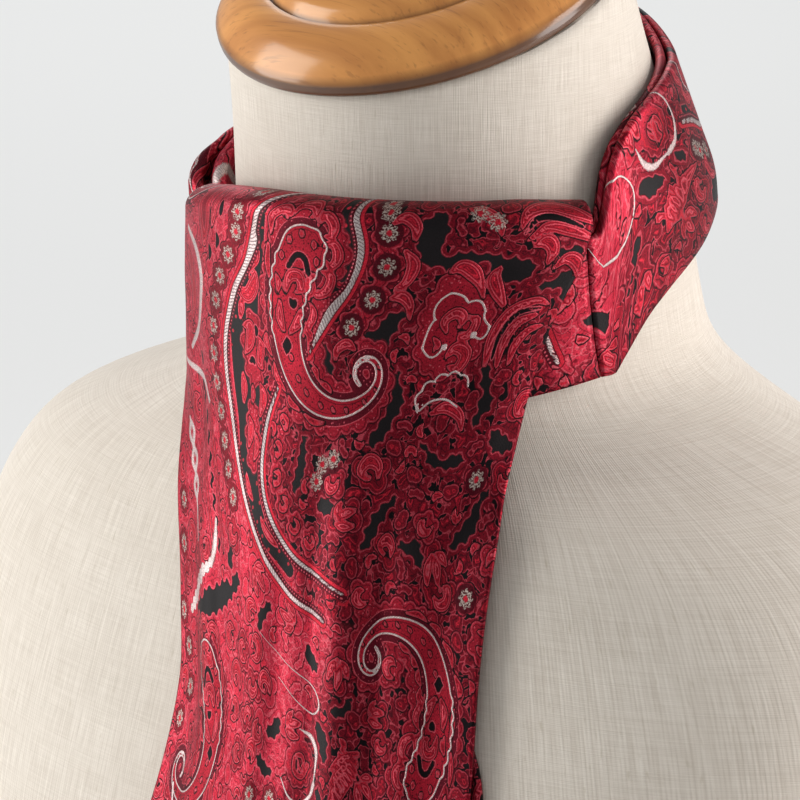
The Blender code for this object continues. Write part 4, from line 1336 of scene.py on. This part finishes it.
def over_front(across, fall):
    """Points on the hanging part; across runs from -1, the wearer's right edge, to 1."""
    longest = mix(OVER_LENGTH, OVER_SHOULDER, np.abs(across))
    drawn = OVER_STRAIGHT + (fall - OVER_STRAIGHT) * (longest - OVER_STRAIGHT) / (OVER_LENGTH - OVER_STRAIGHT)
    fall = np.where(fall > OVER_STRAIGHT, drawn, fall)
    row = OVER(fall)
    angle = across * np.where(across > 0, row.left, row.right) / row.radius
    reach = row.radius.copy()
    gathered = ease(fall, *GATHERING) * (1 - 0.6 * ease(fall, *OPENING_OUT))
    for middle, height in OVER_RIDGES:
        reach += gathered * height * np.maximum(0.0, 1 - ((across - middle) / RIDGE_WIDTH) ** 2) ** 2
    reach += ease(fall, *CREASES_BEGIN) * creased(angle * row.radius, fall, OVER_CREASES)
    crest = CREST(np.degrees(angle)).height
    height = mix(crest, CREST(0.0).height, ease(fall, *LEVELLING)) - fall
    point = np.stack(
        [row.side + reach * np.sin(angle), row.front + row.radius - reach * np.cos(angle), height], -1
    )
    clear = mix(*OVER_CLEAR, ease(height, *CLEAR_RISE))
    return clear_of_form(point, clear), fall


def over_back(across, drop):
    """Points on the leg that comes up between the neck and the crossing."""
    share = (across + 1) / 2
    narrower = drop / RETURN_DEPTH
    turn = mix(mix(*RETURN_RIGHT, narrower), mix(*RETURN_LEFT, narrower), share)
    return off_form(np.radians(turn), CREST(turn).height - FOLD_RISE - drop, RETURN_OUT)


leg_drops = np.linspace(RETURN_DEPTH, 0, 10)
roll_angles = np.linspace(0, pi, 16)[1:-1]
FIRST_FALL, CLOSE_ROWS_END = 0.005, 0.190      # the rows lie closer where the blade is gathered
falls = np.concatenate([
    np.linspace(FIRST_FALL, CLOSE_ROWS_END, 180), np.linspace(CLOSE_ROWS_END, OVER_LENGTH, 62)[1:]
])
over_columns = 168
ROLL_LENGTH = 0.019


def place_over(column, row):
    across = 2 * column / (over_columns - 1) - 1
    last_leg, last_roll = len(leg_drops), len(leg_drops) + len(roll_angles)
    drop = leg_drops[np.clip(row, 0, last_leg - 1)]
    angle = roll_angles[np.clip(row - last_leg, 0, len(roll_angles) - 1)]
    fall = falls[np.clip(row - last_roll, 0, len(falls) - 1)]
    front, fallen = over_front(across, np.where(row < last_roll, falls[0], fall))
    back = over_back(across, np.where(row < last_leg, drop, 0.0))
    share = np.where(row < last_leg, 0.0, np.where(row < last_roll, (1 - np.cos(angle)) / 2, 1.0))
    rise = np.where((row >= last_leg) & (row < last_roll), np.sin(angle), 0.0)
    points = mix(back, front, share[:, None])
    points[:, 2] += FOLD_RISE * rise
    along = np.where(
        row < last_leg, -ROLL_LENGTH / 2 - drop,
        np.where(row < last_roll, ROLL_LENGTH * (angle / pi - 0.5), fallen + ROLL_LENGTH / 2 - falls[0]),
    )
    return points, np.column_stack([across * np.where(across > 0, CUT_LEFT, CUT_RIGHT), along])


over_rows = len(leg_drops) + len(roll_angles) + len(falls)
over_silk = add_silk("over_blade_silk", over_columns, over_rows, place_over)
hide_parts("over_blade")


# The under-blade: the strip's other end, of the same silk but shorter. It lies flat against the chest
# under the first, and only the crossing above it holds it.
UNDER = table(
    "fall  middle half_width lift",
    (0.000, 0.012, 0.030, 0.0075),
    (0.020, 0.014, 0.035, 0.0040),
    (0.050, 0.020, 0.042, 0.0010),
    (0.090, 0.030, 0.055, 0.0000),
    (0.205, 0.036, 0.068, 0.0000),
)
UNDER_TOP, UNDER_LENGTH, UNDER_SHOULDER = 0.517, 0.205, 0.150
UNDER_HALF_CUT, UNDER_START = 0.08, 0.5
under_columns, under_rows = 61, 90


def place_under(column, row):
    across = 2 * column / (under_columns - 1) - 1
    fall = mix(UNDER_LENGTH, UNDER_SHOULDER, np.abs(across)) * row / (under_rows - 1)
    size = UNDER(fall)
    height = UNDER_TOP - fall
    ring = FORM(height)
    side = size.middle + size.half_width * across
    turn = np.copysign(np.arcsin(np.abs(side / ring.half_width) ** (ring.squareness / 2)), side)
    points = off_form(turn, height, RETURN_OUT + size.lift * (1 - across**2))
    return points, np.column_stack([UNDER_HALF_CUT * across, fall + UNDER_START])


under_silk = add_silk("under_blade_silk", under_columns, under_rows, place_under)
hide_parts("under_blade")
